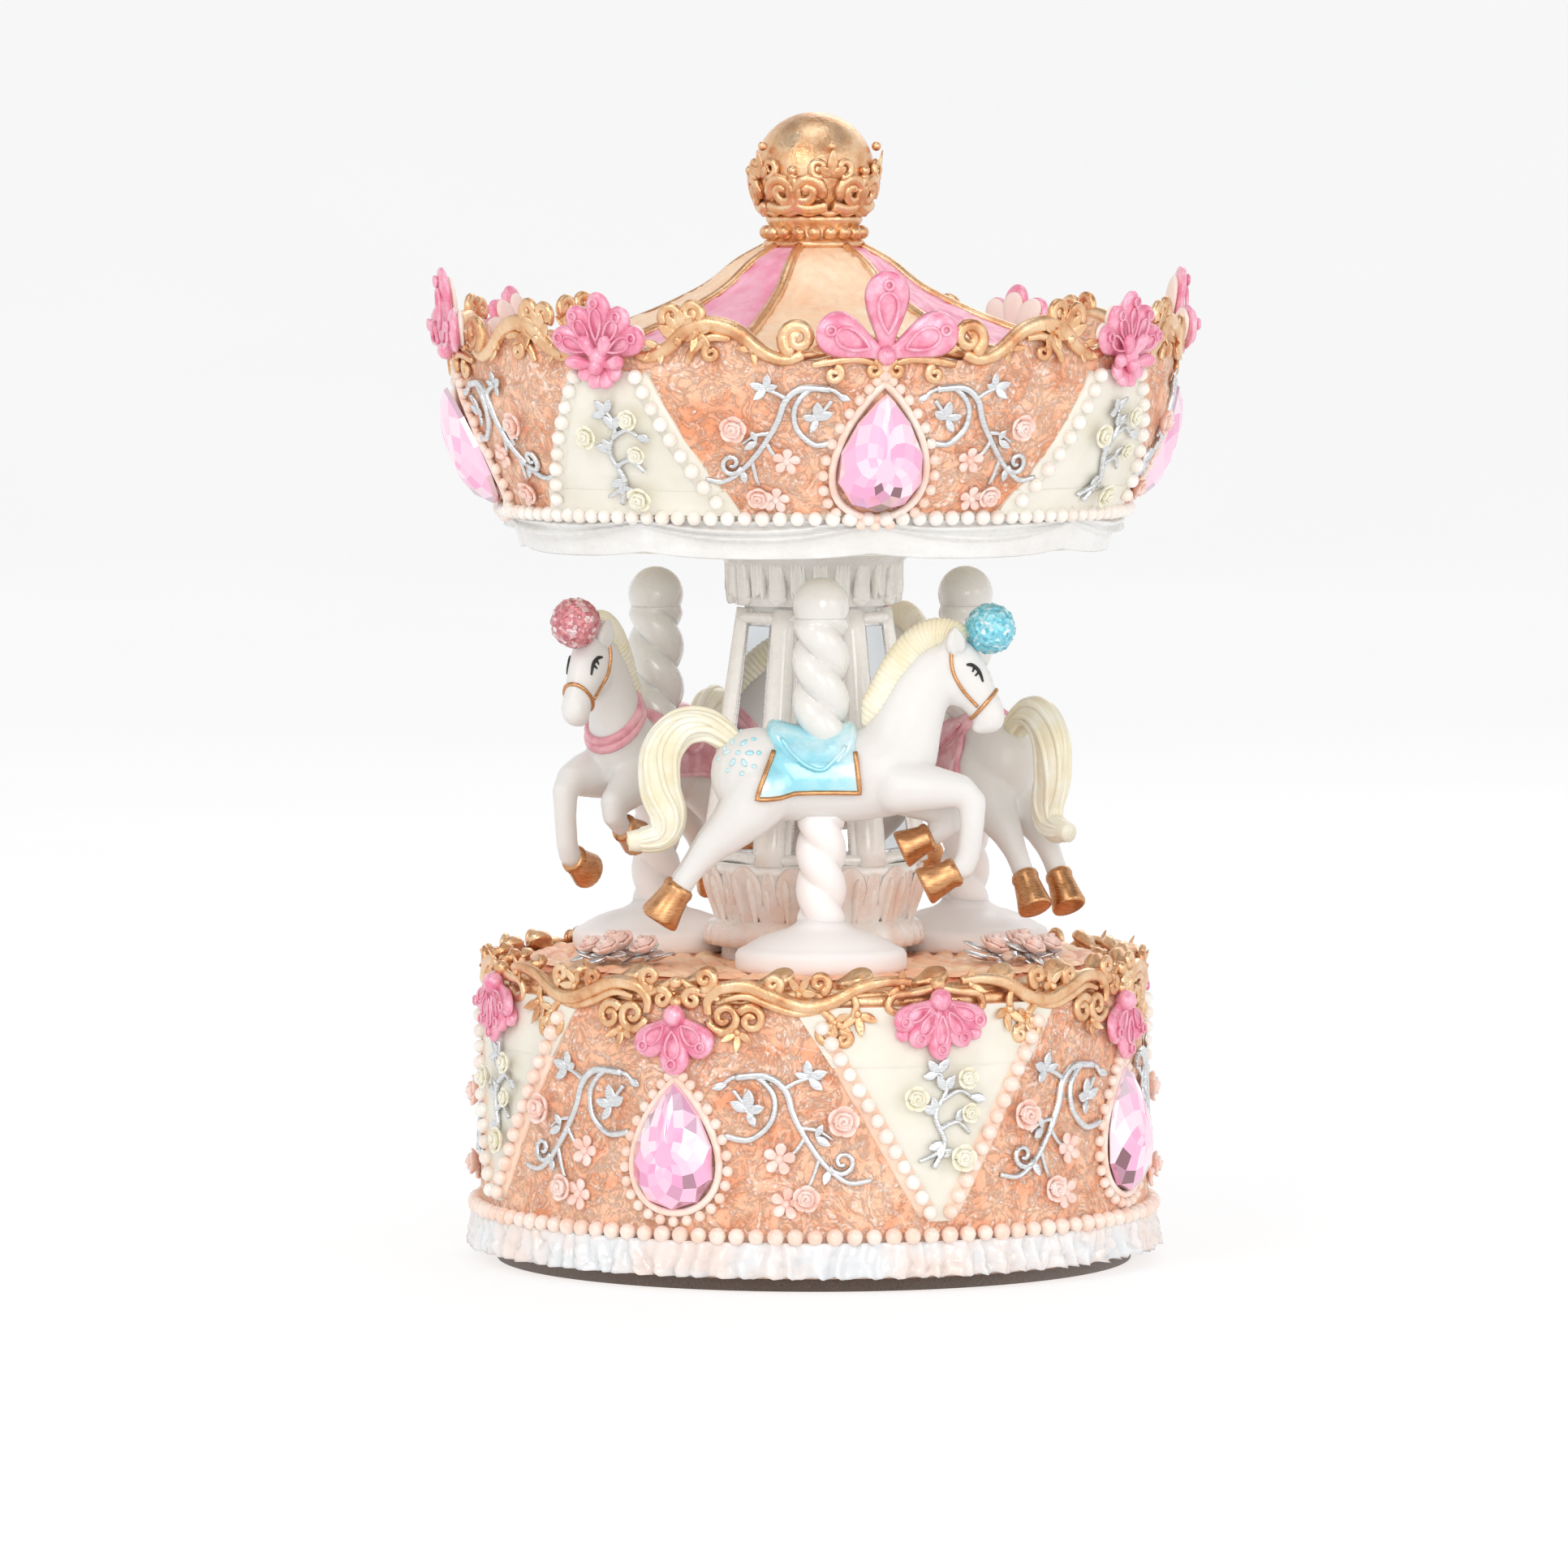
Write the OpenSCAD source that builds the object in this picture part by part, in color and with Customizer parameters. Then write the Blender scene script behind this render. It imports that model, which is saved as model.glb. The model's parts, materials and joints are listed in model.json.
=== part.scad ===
// Carousel music box: a wind-up movement in a round base turns a deck, column, horses and canopy.
// Millimetres, +Z up, origin on the resting surface at the middle of the base. The front faces -Y.

/* [Base] */
// Radius of the base drum at its foot
base_foot_r = 51.2; // [50.6:0.1:51.6]
// Radius of the base drum at its top
base_top_r = 49.6; // [49:0.1:50]
// Height of the top of the base drum
base_z = 42.5; // [42.3:0.1:42.7]
// Thickness of the resin walls
wall = 3.5; // [3:0.1:3.6]
// Turn of the base gems about the vertical
base_turn = -24; // [-45:1:45]
// Radius of the felt pad
felt_r = 48.6; // [47:0.1:49]
// Radius of the hole that leaves room for the winding key
key_well_r = 17; // [16.6:0.1:17.4]

/* [Deck and column] */
// Radius of the turning deck
deck_r = 44; // [42:0.1:44.4]
// Height of the top of the deck
deck_z = 46; // [45.8:0.1:46.5]
// Corner radius of the six-sided column at its foot
column_foot_r = 16; // [15:0.1:16.6]
// Corner radius of the six-sided column at its top
column_top_r = 10.6; // [9.5:0.1:11]
// Turn of the column about the vertical
column_turn = 4; // [-30:1:30]

/* [Horses] */
// Radius of the circle that the poles stand on
pole_ring_r = 27.6; // [27.4:0.1:28.6]
// Radius of each domed pole foot
foot_r = 12.9; // [12:0.1:13]
// Turn of the first horse about the vertical
horse_turn = 2; // [-20:1:20]

/* [Canopy] */
// Height of the lower edge of the canopy
canopy_z = 108.5; // [108:0.1:109]
// Radius of the canopy at its pearl band
canopy_r = 47; // [46.6:0.1:47.6]
// Radius of the canopy at its rim
rim_r = 54.6; // [54.2:0.1:55]
// Height of the rim above the lower edge
rim_h = 29.5; // [29:0.1:30]
// Turn of the canopy gems about the vertical
canopy_turn = 10.7; // [-45:0.1:45]
// Radius of the ball on the roof
ball_r = 9.2; // [9:0.1:9.4]

/* [Gems] */
// Width of each pear-cut gem
gem_w = 13; // [12.6:0.1:13.4]
// Length of each pear-cut gem
gem_l = 18; // [17.6:0.1:18.6]

/* [Hidden] */
$fn = 48;
gap = 0.02; // clearance between glued faces
horses = 3;
quarters = 4;

felt_t = 2;
plate_t = 2.5;
inner_foot_r = base_foot_r - wall;
inner_top_r = base_top_r - wall;
top_plate_t = 3;
pearl_r = 1.2;
pleats = 48;

// Movement: the barrel turns on the vertical axis, the cylinder on a level one along +X
bed_z = 14.1;
bed_t = 2.4;
bed_top = bed_z + bed_t;
axis_z = 24.5; // height of the cylinder and second arbors
arbor_r = 2;
barrel_z = 17.5;
barrel_h = 11.5;
barrel_r = 11.3;
flange_r = 15.2;
shaft_r = 2.5;
running = 0.06; // radial clearance of every running fit
crown_teeth = 45;
crown_module = 0.6;
crown_pitch_z = axis_z - 15 * crown_module / 2;
train_module = 0.45;
wheel_teeth = 30;
leaf_teeth = 10;
second_y = (wheel_teeth + leaf_teeth) * train_module / 2;
worm_module = 0.5;
worm_teeth = 24;
worm_r = 1.5;
worm_pitch = PI * worm_module;
worm_x = 36.6;
worm_y = second_y + worm_teeth * worm_module / 2 + worm_r;
drum_x = [17, 33.2];
drum_r = 6.5;
notes = 18;
note_pitch = (drum_x[1] - drum_x[0]) / notes;
mount_posts = [[-15, -15], [-15, 15], [38.5, -12]];
plate_screw_r = 42;
plate_screw_angles = [30, 150, 270];

column_z = 60;
capital_z = 100;
floor_z = canopy_z + 0.6;
floor_t = 3;
wall_z = canopy_z + 6; // lower edge of the canopy wall
band_z = canopy_z + 6.4;
rim_z = canopy_z + rim_h;
neck_z = rim_z + 16.3;
ball_z = neck_z + 11.5;

// ---------- helpers ----------

// Puts a child at an angle from the front (towards +X) at radius r and height z, facing outwards
module at(angle, r = 0, z = 0) rotate([0, 0, angle]) translate([0, -r, z]) children();

// Stands a flat drawing up so that it faces outwards, leaning outwards by lean at its top
module face_out(lean = 0) rotate([90 + lean, 0, 0]) children();

module ring(r_out, r_in, h) difference() {
    cylinder(r = r_out, h = h);
    translate([0, 0, -1]) cylinder(r = r_in, h = h + 2);
}

// A straight round bar from a to b
module rod(a, b, r) {
    d = b - a;
    translate(a) rotate([0, acos(d[2] / norm(d)), atan2(d[1], d[0])]) cylinder(r = r, h = norm(d), $fn = 24);
}

// A flat strip from p to q whose round ends have radii r0 and r1
module taper(p, r0, q, r1) {
    d = q - p;
    side = acos((r0 - r1) / norm(d));
    ends = [for (s = [-1, 1]) atan2(d[1], d[0]) + s * side];
    translate(p) circle(r0);
    translate(q) circle(r1);
    polygon([for (a = ends) p + r0 * [cos(a), sin(a)], for (a = [ends[1], ends[0]]) q + r1 * [cos(a), sin(a)]]);
}

// Radius of a wall at height z, given its points as [radius, height]
function wall_r(points, z) = lookup(z, [for (p = points) [p[1], p[0]]]);

base_wall = [[base_foot_r, 2], [base_top_r, base_z]];
canopy_wall = [[canopy_r, wall_z], [canopy_r + 0.9, wall_z + 2.5], [canopy_r + 3.2, wall_z + 6.5],
    [canopy_r + 5.4, wall_z + 11.5], [canopy_r + 7, wall_z + 17.5], [rim_r, rim_z]];
base_slope = atan((base_foot_r - base_top_r) / (base_z - 2));
function base_r_at(z) = wall_r(base_wall, z);
function canopy_r_at(z) = wall_r(canopy_wall, z);

// A gear outline with straight-sided teeth, the first one on +X
module gear(teeth, module_size, tooth, tip, addendum = 0.8, dedendum = 1.1) {
    r = teeth * module_size / 2;
    a = r + addendum * module_size;
    d = r - dedendum * module_size;
    polygon([for (i = [0:teeth - 1]) let (c = 360 * i / teeth,
            root = asin(tooth / 2 / d) * 1.25, top = asin(tip / 2 / a))
        each [[d * cos(c - root), d * sin(c - root)], [a * cos(c - top), a * sin(c - top)],
            [a * cos(c + top), a * sin(c + top)], [d * cos(c + root), d * sin(c + root)]]]);
}

// Turns a drawing so that it lies across an axis along +X, with its own +X pointing down
module across_x(x, y = 0) translate([x, y, axis_z]) rotate([0, 90, 0]) children();

// Pear outline standing on its round end, its tip on +Y
module pear(w, l, grow = 0) {
    r = w / 2;
    taper([0, r - l / 2], r + grow, [0, l / 2 - 1.2], 1.2 + grow);
}

// ---------- base ----------

module felt_pad() color("#3a2e28") ring(felt_r, key_well_r, felt_t);

module bottom_plate() color("#6b5a4c") difference() {
    union() {
        translate([0, 0, felt_t]) ring(felt_r - 2.2, key_well_r, plate_t);
        translate([0, 0, felt_t]) ring(key_well_r + 1.5, key_well_r, bed_z - felt_t - 0.2);
    }
    for (a = plate_screw_angles) at(a, plate_screw_r) {
        cylinder(r = 1.5, h = 10, $fn = 24);
        translate([0, 0, felt_t - 1]) cylinder(r = 3, h = 2.2, $fn = 24);
    }
}

module plate_screws() color("silver") for (a = plate_screw_angles)
    at(a, plate_screw_r, felt_t) screw(2.9, 1.2, 1.5, 6.8);

module base_drum() color("#f3b48c") difference() {
    union() {
        rotate_extrude() polygon([[0, base_z], [0, base_z - top_plate_t],
            [inner_top_r, base_z - top_plate_t], [inner_foot_r, felt_t + 0.2],
            [base_foot_r, felt_t + 0.2], [base_top_r, base_z]]);
        for (p = mount_posts) translate([p[0], p[1], bed_top])
            cylinder(r = 3.2, h = base_z - top_plate_t - bed_top + 1);
        for (a = plate_screw_angles) at(a, plate_screw_r + 2, felt_t + plate_t)
            cylinder(r = 5, h = 8);
    }
    translate([0, 0, base_z - top_plate_t - 1]) cylinder(r = 5, h = top_plate_t + 2);
    for (p = mount_posts) translate([p[0], p[1], bed_top - 1]) cylinder(r = 1.3, h = 7, $fn = 24);
    for (a = plate_screw_angles) at(a, plate_screw_r) cylinder(r = 1.5, h = 11, $fn = 24);
}

module base_gold_border() color("#c8935a") {
    translate([0, 0, base_z]) ring(base_top_r, deck_r + 1.2, 4);
    for (i = [0:15]) at(base_turn + i * 22.5, base_top_r - 2.2, base_z + 4)
        translate([0, 0, -1]) cylinder(r = 2, h = 2.4, $fn = 24);
}

// A strip of wall between two half-angles at two heights, raised by t
module wall_panel(points, z0, z1, half0, half1, t) {
    r = wall_r(points, (z0 + z1) / 2);
    intersection() {
        rotate_extrude() polygon([for (p = points) [p[0] + gap, p[1]],
            for (i = [len(points) - 1:-1:0]) [points[i][0] + t, points[i][1]]]);
        rotate([90, 0, 0]) translate([0, 0, r - 16]) linear_extrude(24)
            polygon([[-r * sin(half0), z0], [r * sin(half0), z0], [r * sin(half1), z1], [-r * sin(half1), z1]]);
    }
}

module base_cream_panels() color("#f4f1e6")
    for (i = [0:quarters - 1]) at(base_turn + 45 + 90 * i)
        wall_panel(base_wall, 10.5, 40.5, 2, 19, 0.7);

module gem_body() {
    linear_extrude(1.8) pear(gem_w, gem_l);
    linear_extrude(3) pear(gem_w - 4, gem_l - 4);
}

module setting() translate([0, 0, -1.1]) difference() {
    linear_extrude(2) pear(gem_w, gem_l, 1.9);
    translate([0, 0, -1]) linear_extrude(4) pear(gem_w, gem_l, 0.1);
}

module base_gems() color("hotpink")
    for (i = [0:quarters - 1]) at(base_turn + 90 * i, base_r_at(21.5) + 0.3, 21.5) face_out(-base_slope) gem_body();

module base_gem_settings() color("#f9d3b8")
    for (i = [0:quarters - 1]) at(base_turn + 90 * i, base_r_at(21.5) + 0.3, 21.5) face_out(-base_slope) setting();

module base_pearl_band() color("#fae3d3") translate([0, 0, 8.4])
    rotate_extrude() translate([base_r_at(8.4) + 0.95, 0]) circle(0.9, $fn = 24);

// A row of pearls as one straight rod laid on the wall between two points, [angle, height]
module string(points, a, b, r) {
    pa = [wall_r(points, a[1]) * sin(a[0]), -wall_r(points, a[1]) * cos(a[0]), a[1]];
    pb = [wall_r(points, b[1]) * sin(b[0]), -wall_r(points, b[1]) * cos(b[0]), b[1]];
    rod(pa, pb, r);
}

module base_pearl_strings() color("#fdf3ea")
    for (i = [0:quarters - 1]) rotate([0, 0, base_turn + 45 + 90 * i])
        for (s = [-1, 1]) string(base_wall, [s * 4.2, 13.2], [s * 20.6, 38], pearl_r);

module base_lace_ruffle() color("white") translate([0, 0, 2.2]) difference() {
    linear_extrude(5.1) polygon([for (i = [0:pleats * 4 - 1]) let (a = i * 90 / pleats)
        (base_foot_r + 1.9 + 0.35 * cos(i * 90)) * [cos(a), sin(a)]]);
    translate([0, 0, -1]) cylinder(r = base_foot_r + gap, h = 8, $fn = 180);
}

// A fan of petals that opens to the half-angle on both sides of +Y
module shell(petals, half, reach, t) linear_extrude(t)
    polygon([[0, -1.5], for (a = [-half:half / 20:half])
        reach * (1 + 0.24 * abs(sin(90 * petals * (a / half + 1)))) * [-sin(a), cos(a)]]);

module base_pink_shells() color("#ee7fb6") {
    for (i = [0:quarters - 1]) at(base_turn + 90 * i, base_r_at(38.5) - 0.2, 39.8)
        face_out(-base_slope) rotate(180) shell(3, 80, 6.6, 1.8);
    for (i = [0:quarters - 1]) at(base_turn + 45 + 90 * i, base_r_at(40) + 0.5, 41.4)
        face_out(-base_slope) rotate(180) shell(5, 76, 6.2, 1.8);
}

// One spray of vine: three stems and the flowers at their ends, on a wall
module spray(points, mid_z, side) {
    stems = [[[side * 10.5, mid_z + 4], [side * 16.5, mid_z + 6.2]], [[side * 17, mid_z + 5.4], [side * 21, mid_z - 3.5]],
        [[side * 12, mid_z - 1], [side * 18, mid_z + 0.5]]];
    for (s = stems) string(points, s[0], s[1], 0.55);
    for (f = [[22, -5.5], [15, -6.5]]) {
        z = mid_z + f[1];
        at(side * f[0], wall_r(points, z), z) sphere(1.7, $fn = 24);
    }
}

module base_silver_sprays() color("silver")
    for (i = [0:quarters - 1]) rotate([0, 0, base_turn + 90 * i])
        for (s = [-1, 1]) spray(base_wall, 24, s);

// ---------- movement ----------

module bedplate() color("#b9bcc0") difference() {
    union() {
        translate([0, 0, bed_z]) linear_extrude(bed_t) intersection() {
            translate([-19, -19]) square([61, 40]);
            circle(45.5);
        }
        translate([15.5, -19, bed_top - 0.5]) cube([19.2, 6.5, 7.5]);
    }
    translate([0, 0, bed_z - 1]) cylinder(r = arbor_r + running, h = 5);
    for (p = mount_posts) translate([p[0], p[1], bed_z - 1]) cylinder(r = 1.6, h = 5, $fn = 24);
    for (x = [19, 31]) translate([x, -16, bed_top + 2]) cylinder(r = 0.9, h = 8, $fn = 24);
}

module screw(head_r, head_h, r, l) {
    cylinder(r = head_r, h = head_h, $fn = 24);
    translate([0, 0, head_h]) cylinder(r = r, h = l, $fn = 24);
}

module movement_screws() color("silver")
    for (p = mount_posts) translate([p[0], p[1], bed_z - 1.4]) screw(2.6, 1.4, 1.3, 7.5);

module cylinder_brackets() color("#b9bcc0") for (x = [15.6, 35.4]) difference() {
    translate([x, -2, bed_top]) cube([x < 20 ? 1 : 0.5, 4, axis_z - bed_top + 2.2]);
    translate([x - 1, 0, axis_z]) rotate([0, 90, 0]) cylinder(r = 1 + running, h = 3, $fn = 24);
}

module comb() color("#d6d8da") difference() {
    translate([drum_x[0] - 0.4, -19, bed_top + 7]) cube([drum_x[1] - drum_x[0] + 0.8, 12, 1]);
    for (i = [1:notes - 1]) translate([drum_x[0] + i * note_pitch - 0.14, -13.4 + i * 0.08, bed_top])
        cube([0.28, 8, 10]);
    for (x = [19, 31]) translate([x, -16, bed_top]) cylinder(r = 0.9, h = 10, $fn = 24);
}

module comb_screws() color("#8f6f3a") for (x = [19, 31])
    translate([x, -16, bed_top + 2.5]) {
        cylinder(r = 0.9, h = 5.5, $fn = 24);
        translate([0, 0, 5.5]) cylinder(r = 1.9, h = 1.2, $fn = 24);
    }

module governor_frame() color("#b9bcc0") difference() {
    union() {
        translate([29, 14.5, bed_top]) cube([3, 5.2, 21]);
        for (z = [bed_top, bed_top + 20]) translate([29, 14.5, z]) cube([9.4, 4, 1]);
        for (x = [31.9, 38]) translate([x, second_y - 2, bed_top]) cube([0.9, 3.6, 10.4]);
        translate([31.9, second_y - 2, bed_top]) cube([7, 8, 0.8]);
    }
    translate([worm_x, worm_y, bed_top - 1]) cylinder(r = 0.6 + running, h = 30, $fn = 24);
    translate([30, second_y, axis_z]) rotate([0, 90, 0]) cylinder(r = 0.8 + running, h = 12, $fn = 24);
}

module turntable_bush() color("#c9a04e") translate([0, 0, base_z - 5]) difference() {
    union() {
        cylinder(r = 5, h = 5);
        translate([0, 0, 5]) cylinder(r = 7, h = 0.5);
    }
    translate([0, 0, -1]) cylinder(r = shaft_r + running, h = 8);
}

// ---------- gear train ----------

module music_cylinder() color("#d8b25c") {
    translate([drum_x[0], 0, axis_z]) rotate([0, 90, 0]) ring(drum_r, 1, drum_x[1] - drum_x[0]);
    for (i = [0:notes - 1]) translate([drum_x[0] + (i + 0.5) * note_pitch, 0, axis_z])
        rotate([(i * 137.5 + 60) % 280 - 50, 0, 0]) translate([0, 0, drum_r - 0.2])
            cylinder(r = 0.2, h = 0.55, $fn = 13);
}

module cylinder_pinion() color("#d8b25c") across_x(12.1) linear_extrude(2.6) difference() {
    gear(15, crown_module, 0.68, 0.34, 0.75, 1.15);
    circle(1);
}

module cylinder_wheel() color("#d8b25c") across_x(33.7) linear_extrude(1.2) difference() {
    rotate(90) gear(wheel_teeth, train_module, 0.5, 0.22, 0.75, 1.15);
    circle(1);
}

module cylinder_arbor() color("#9aa0a6") across_x(11.6) cylinder(r = 1, h = 24.8);

module second_wheel() color("#d8b25c") {
    across_x(31.6, second_y) cylinder(r = 0.8, h = 7.6, $fn = 24);
    across_x(33.7, second_y) linear_extrude(1.2)
        rotate(90 + 180 / leaf_teeth) gear(leaf_teeth, train_module, 0.44, 0.2, 0.75, 1.1);
    across_x(worm_x - 0.6, second_y) linear_extrude(1.2)
        rotate(90) gear(worm_teeth, worm_module, 0.46, 0.24, 0.7, 1.1);
}

module governor_worm() color("#9aa0a6") translate([worm_x, worm_y, 0]) {
    z0 = 21;
    h = 7.2;
    translate([0, 0, z0]) rotate(90 - 360 * (axis_z - z0) / worm_pitch)
        linear_extrude(h, twist = -360 * h / worm_pitch, slices = 46, segments = 10, $fn = 10)
            translate([0.42, 0]) circle(1.3);
    translate([0, 0, bed_top + 0.2]) cylinder(r = 0.6, h = 20.9, $fn = 24);
}

module governor_fly() color("#c9ccd0") translate([worm_x, worm_y, 30.5]) difference() {
    union() {
        cylinder(r = 1.4, h = 5);
        translate([-4.3, -0.3, 0]) cube([8.6, 0.6, 5]);
    }
    translate([0, 0, -1]) cylinder(r = 0.6, h = 8, $fn = 24);
}

module winding_arbor() color("#9aa0a6") translate([0, 0, 6.5]) cylinder(r = arbor_r, h = 21);

module winding_key() color("#d9b45f") difference() {
    union() {
        translate([0, 0, 4.5]) cylinder(r = 3.2, h = 8.9);
        for (s = [-1, 1]) translate([s * 6.6, 1.1, 8]) rotate([90, 0, 0]) cylinder(r = 5, h = 2.2);
    }
    translate([0, 0, 6.5]) cylinder(r = arbor_r, h = 8);
    for (s = [-1, 1]) translate([s * 7.4, 3, 8]) rotate([90, 0, 0]) cylinder(r = 1.7, h = 6);
}

// ---------- turning parts ----------

module spring_barrel() color("#d8b25c") difference() {
    union() {
        translate([0, 0, barrel_z]) cylinder(r = barrel_r, h = barrel_h);
        translate([0, 0, barrel_z]) cylinder(r = flange_r, h = 1.9);
        for (i = [0:crown_teeth - 1]) rotate([0, 0, (i + 0.5) * 360 / crown_teeth])
            translate([12, 0, barrel_z + 1.8]) rotate([90, 0, 90])
                linear_extrude(3) polygon([[-0.44, 0], [0.44, 0], [0.2, 1.1], [-0.2, 1.1]]);
    }
    translate([0, 0, barrel_z + 1]) cylinder(r = barrel_r - 0.8, h = barrel_h - 2);
    translate([0, 0, barrel_z - 1]) cylinder(r = arbor_r + running, h = 3);
}

spring_turns = 5;
spring_steps = 20;
spring_r = 3.2;
spring_pitch = (barrel_r - 1.1 - spring_r) / spring_turns;

// Point i of the spring's spiral, moved outwards by t
function spiral(t, i) = let (a = i * 360 / spring_steps)
    (spring_r + spring_pitch * i / spring_steps + t) * [cos(a), sin(a)];

module mainspring() color("#7d8894") translate([0, 0, barrel_z + 1.4]) linear_extrude(barrel_h - 3)
    polygon([for (i = [0:spring_turns * spring_steps]) spiral(0, i),
        for (i = [spring_turns * spring_steps:-1:0]) spiral(-0.45, i)]);

module drive_shaft() color("#9aa0a6") translate([0, 0, barrel_z + barrel_h])
    cylinder(r = shaft_r, h = deck_z + 3.8 - barrel_z - barrel_h);

module shaft_nut() color("silver") translate([0, 0, deck_z]) difference() {
    cylinder(r = 4.4, h = 3, $fn = 6);
    translate([0, 0, -1]) cylinder(r = shaft_r, h = 5);
}

module deck() color("#f6bf9c") difference() {
    rotate_extrude() polygon([[0, deck_z], [0, base_z + 0.55], [8, base_z + 0.55], [8, base_z + 1],
        [deck_r - 0.6, base_z + 1], [deck_r, base_z + 1.6], [deck_r, deck_z - 1.4], [deck_r - 0.5, deck_z - 0.6],
        [deck_r - 1.6, deck_z]]);
    translate([0, 0, base_z - 1]) cylinder(r = shaft_r, h = 6);
}

module deck_flowers() color("#f3a08a") for (i = [0:horses - 1])
    rotate([0, 0, horse_turn + 60 + 120 * i])
        for (p = [[-4.6, 31], [0, 33.5], [4.6, 31], [-2.4, 36.8], [2.6, 37]])
            translate([p[0], -p[1], deck_z]) intersection() {
                sphere(2.1, $fn = 24);
                cylinder(r = 3, h = 3);
            }

// Column parts share the horses' deck; the column's sides narrow upwards
module column_foot() color("#efe6da") difference() {
    translate([0, 0, deck_z]) rotate_extrude() polygon([[0, 0], [14.2, 0], [14.2, 4], [13.8, 5],
        [14.6, 9], [column_foot_r, column_z - deck_z - 2], [column_foot_r, column_z - deck_z],
        [0, column_z - deck_z]]);
    translate([0, 0, deck_z - 1]) cylinder(r = 6, h = 7);
}

module column_core() color("#e9e4dc") translate([0, 0, column_z]) rotate([0, 0, column_turn])
    cylinder(r1 = column_foot_r, r2 = column_top_r, h = capital_z - column_z, $fn = 6);

module column_mirrors() color("#dfe6ea") {
    h = capital_z - column_z;
    r0 = column_foot_r * cos(30);
    r1 = column_top_r * cos(30);
    slope = atan((r0 - r1) / h);
    for (i = [0:5]) at(column_turn + 60 * i, r0 + 0.1, column_z) face_out(-slope)
        linear_extrude(0.8) polygon([[-5.2, 1.4], [5.2, 1.4], [3.4, h - 1.7], [-3.4, h - 1.7]]);
}

module column_capital() color("#efe6da") translate([0, 0, capital_z]) rotate_extrude()
    polygon([[0, 0], [column_top_r + 1.6, 0], [12.6, 1], [12.2, 3], [13, 5.5], [14.6, 7.6],
        [14.6, floor_z - capital_z], [0, floor_z - capital_z]]);

// ---------- horses and poles ----------

// Limbs as [point, radius, point, radius]: x forwards, y towards the column, z above the floor
body = [[[-6.5, 0, 75.6], 6.9, [3, 0, 74.9], 6.5], [[3, 0, 74.9], 6.5, [12, 0, 75.7], 6.6],
    [[12.5, 0, 77], 6, [16, 0, 86], 4.7], [[16, 0, 86], 4.7, [20.5, 0, 91.6], 4.2],
    [[20.8, 0, 91.8], 4, [25.2, 0, 85.8], 2.7]];
mane = [[[8.5, 0, 84], 1.6, [12.5, 0, 91], 1.8], [[12.5, 0, 91], 1.8, [20, 0, 96.3], 1.7],
    [[21, 0, 93.5], 2, [25, 0, 96.5], 1.6]];
tail = [[[-11, 0, 80.5], 2.4, [-19, 0, 82.5], 2.9], [[-19, 0, 82.5], 2.9, [-22.5, 0, 76.5], 3],
    [[-22.5, 0, 76.5], 3, [-22.6, 0, 69], 2.8], [[-22.6, 0, 69], 2.8, [-27, 0, 66.4], 1.4]];
near_fore_leg = [[[13.5, -3, 72.6], 3.6, [23, -3, 73], 2.3], [[23, -3, 73], 2.3, [19.4, -3, 61.8], 2]];
far_fore_leg = [[[13, 3, 72], 3.4, [20.5, 3, 70.4], 2.3], [[20.5, 3, 70.4], 2.3, [16.8, 3, 66.2], 2]];
hind_leg = [[[-8.2, 2.6, 72.4], 5, [-15.6, 2.9, 65], 2.8], [[-15.6, 2.9, 65], 2.8, [-21.6, 2.9, 56.4], 2.1]];

module limb(p) hull() {
    translate(p[0]) sphere(p[1], $fn = 10);
    translate(p[2]) sphere(p[3], $fn = 10);
}

module horse_shape() {
    for (p = concat(body, mane, tail, near_fore_leg, far_fore_leg, hind_leg)) limb(p);
    for (p = hind_leg) mirror([0, 1, 0]) limb(p);
    translate([26.4, 0, 97.6]) sphere(4, $fn = 12);
    translate([-1, 0, 77]) sphere(7.2, $fn = 12);
}

module on_ring(i) at(horse_turn + 120 * i, pole_ring_r) children();

module horse(i) color("#f7f1ea") on_ring(i) horse_shape();

module upper_pole(i) color("#ece8e2") on_ring(i) {
    translate([0, 0, 100.9]) sphere(4.2);
    translate([0, 0, 80]) cylinder(r = 3.4, h = 19);
}

module pole_foot(i) color("#f8ece4") on_ring(i) {
    rotate_extrude() polygon([[0, deck_z], [foot_r - 0.5, deck_z], [foot_r, deck_z + 0.6], [foot_r, deck_z + 2.6],
        [foot_r - 0.7, deck_z + 3.6], [10, deck_z + 4.8], [7, deck_z + 6], [4.2, deck_z + 6.7], [3.4, deck_z + 9],
        [3.3, 69.5], [0, 69.5]]);
}

// ---------- canopy ----------

module canopy_drum() color("#f3b48c") rotate_extrude() polygon(concat(
    [[0, floor_z], [44, floor_z], [44, wall_z]], canopy_wall,
    [for (i = [len(canopy_wall) - 1:-1:2]) [canopy_wall[i][0] - wall, canopy_wall[i][1]]],
    [[42, floor_z + floor_t], [0, floor_z + floor_t]]));

module canopy_swag_skirt() color("#f6efe9") translate([0, 0, canopy_z])
    ring(canopy_r - 0.4, 44.05, wall_z - canopy_z - gap);

roof_top = [[7.4, neck_z], [12, neck_z - 2.5], [17, neck_z - 6.3], [24.4, neck_z - 9.9], [31.8, neck_z - 12.7],
    [40, neck_z - 15], [rim_r - 2.2, neck_z - 16.2]];

module canopy_roof() color("#f8cfae") rotate_extrude() polygon(concat(
    [[0, neck_z - 2.5], [0, neck_z]], roof_top, [[rim_r - 2.2, rim_z + gap], [rim_r - wall, rim_z + gap], [rim_r - wall - 0.1, rim_z - 1.5]],
    [for (i = [5:-1:1]) [roof_top[i][0] - 1, roof_top[i][1] - 2.3]]));

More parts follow.
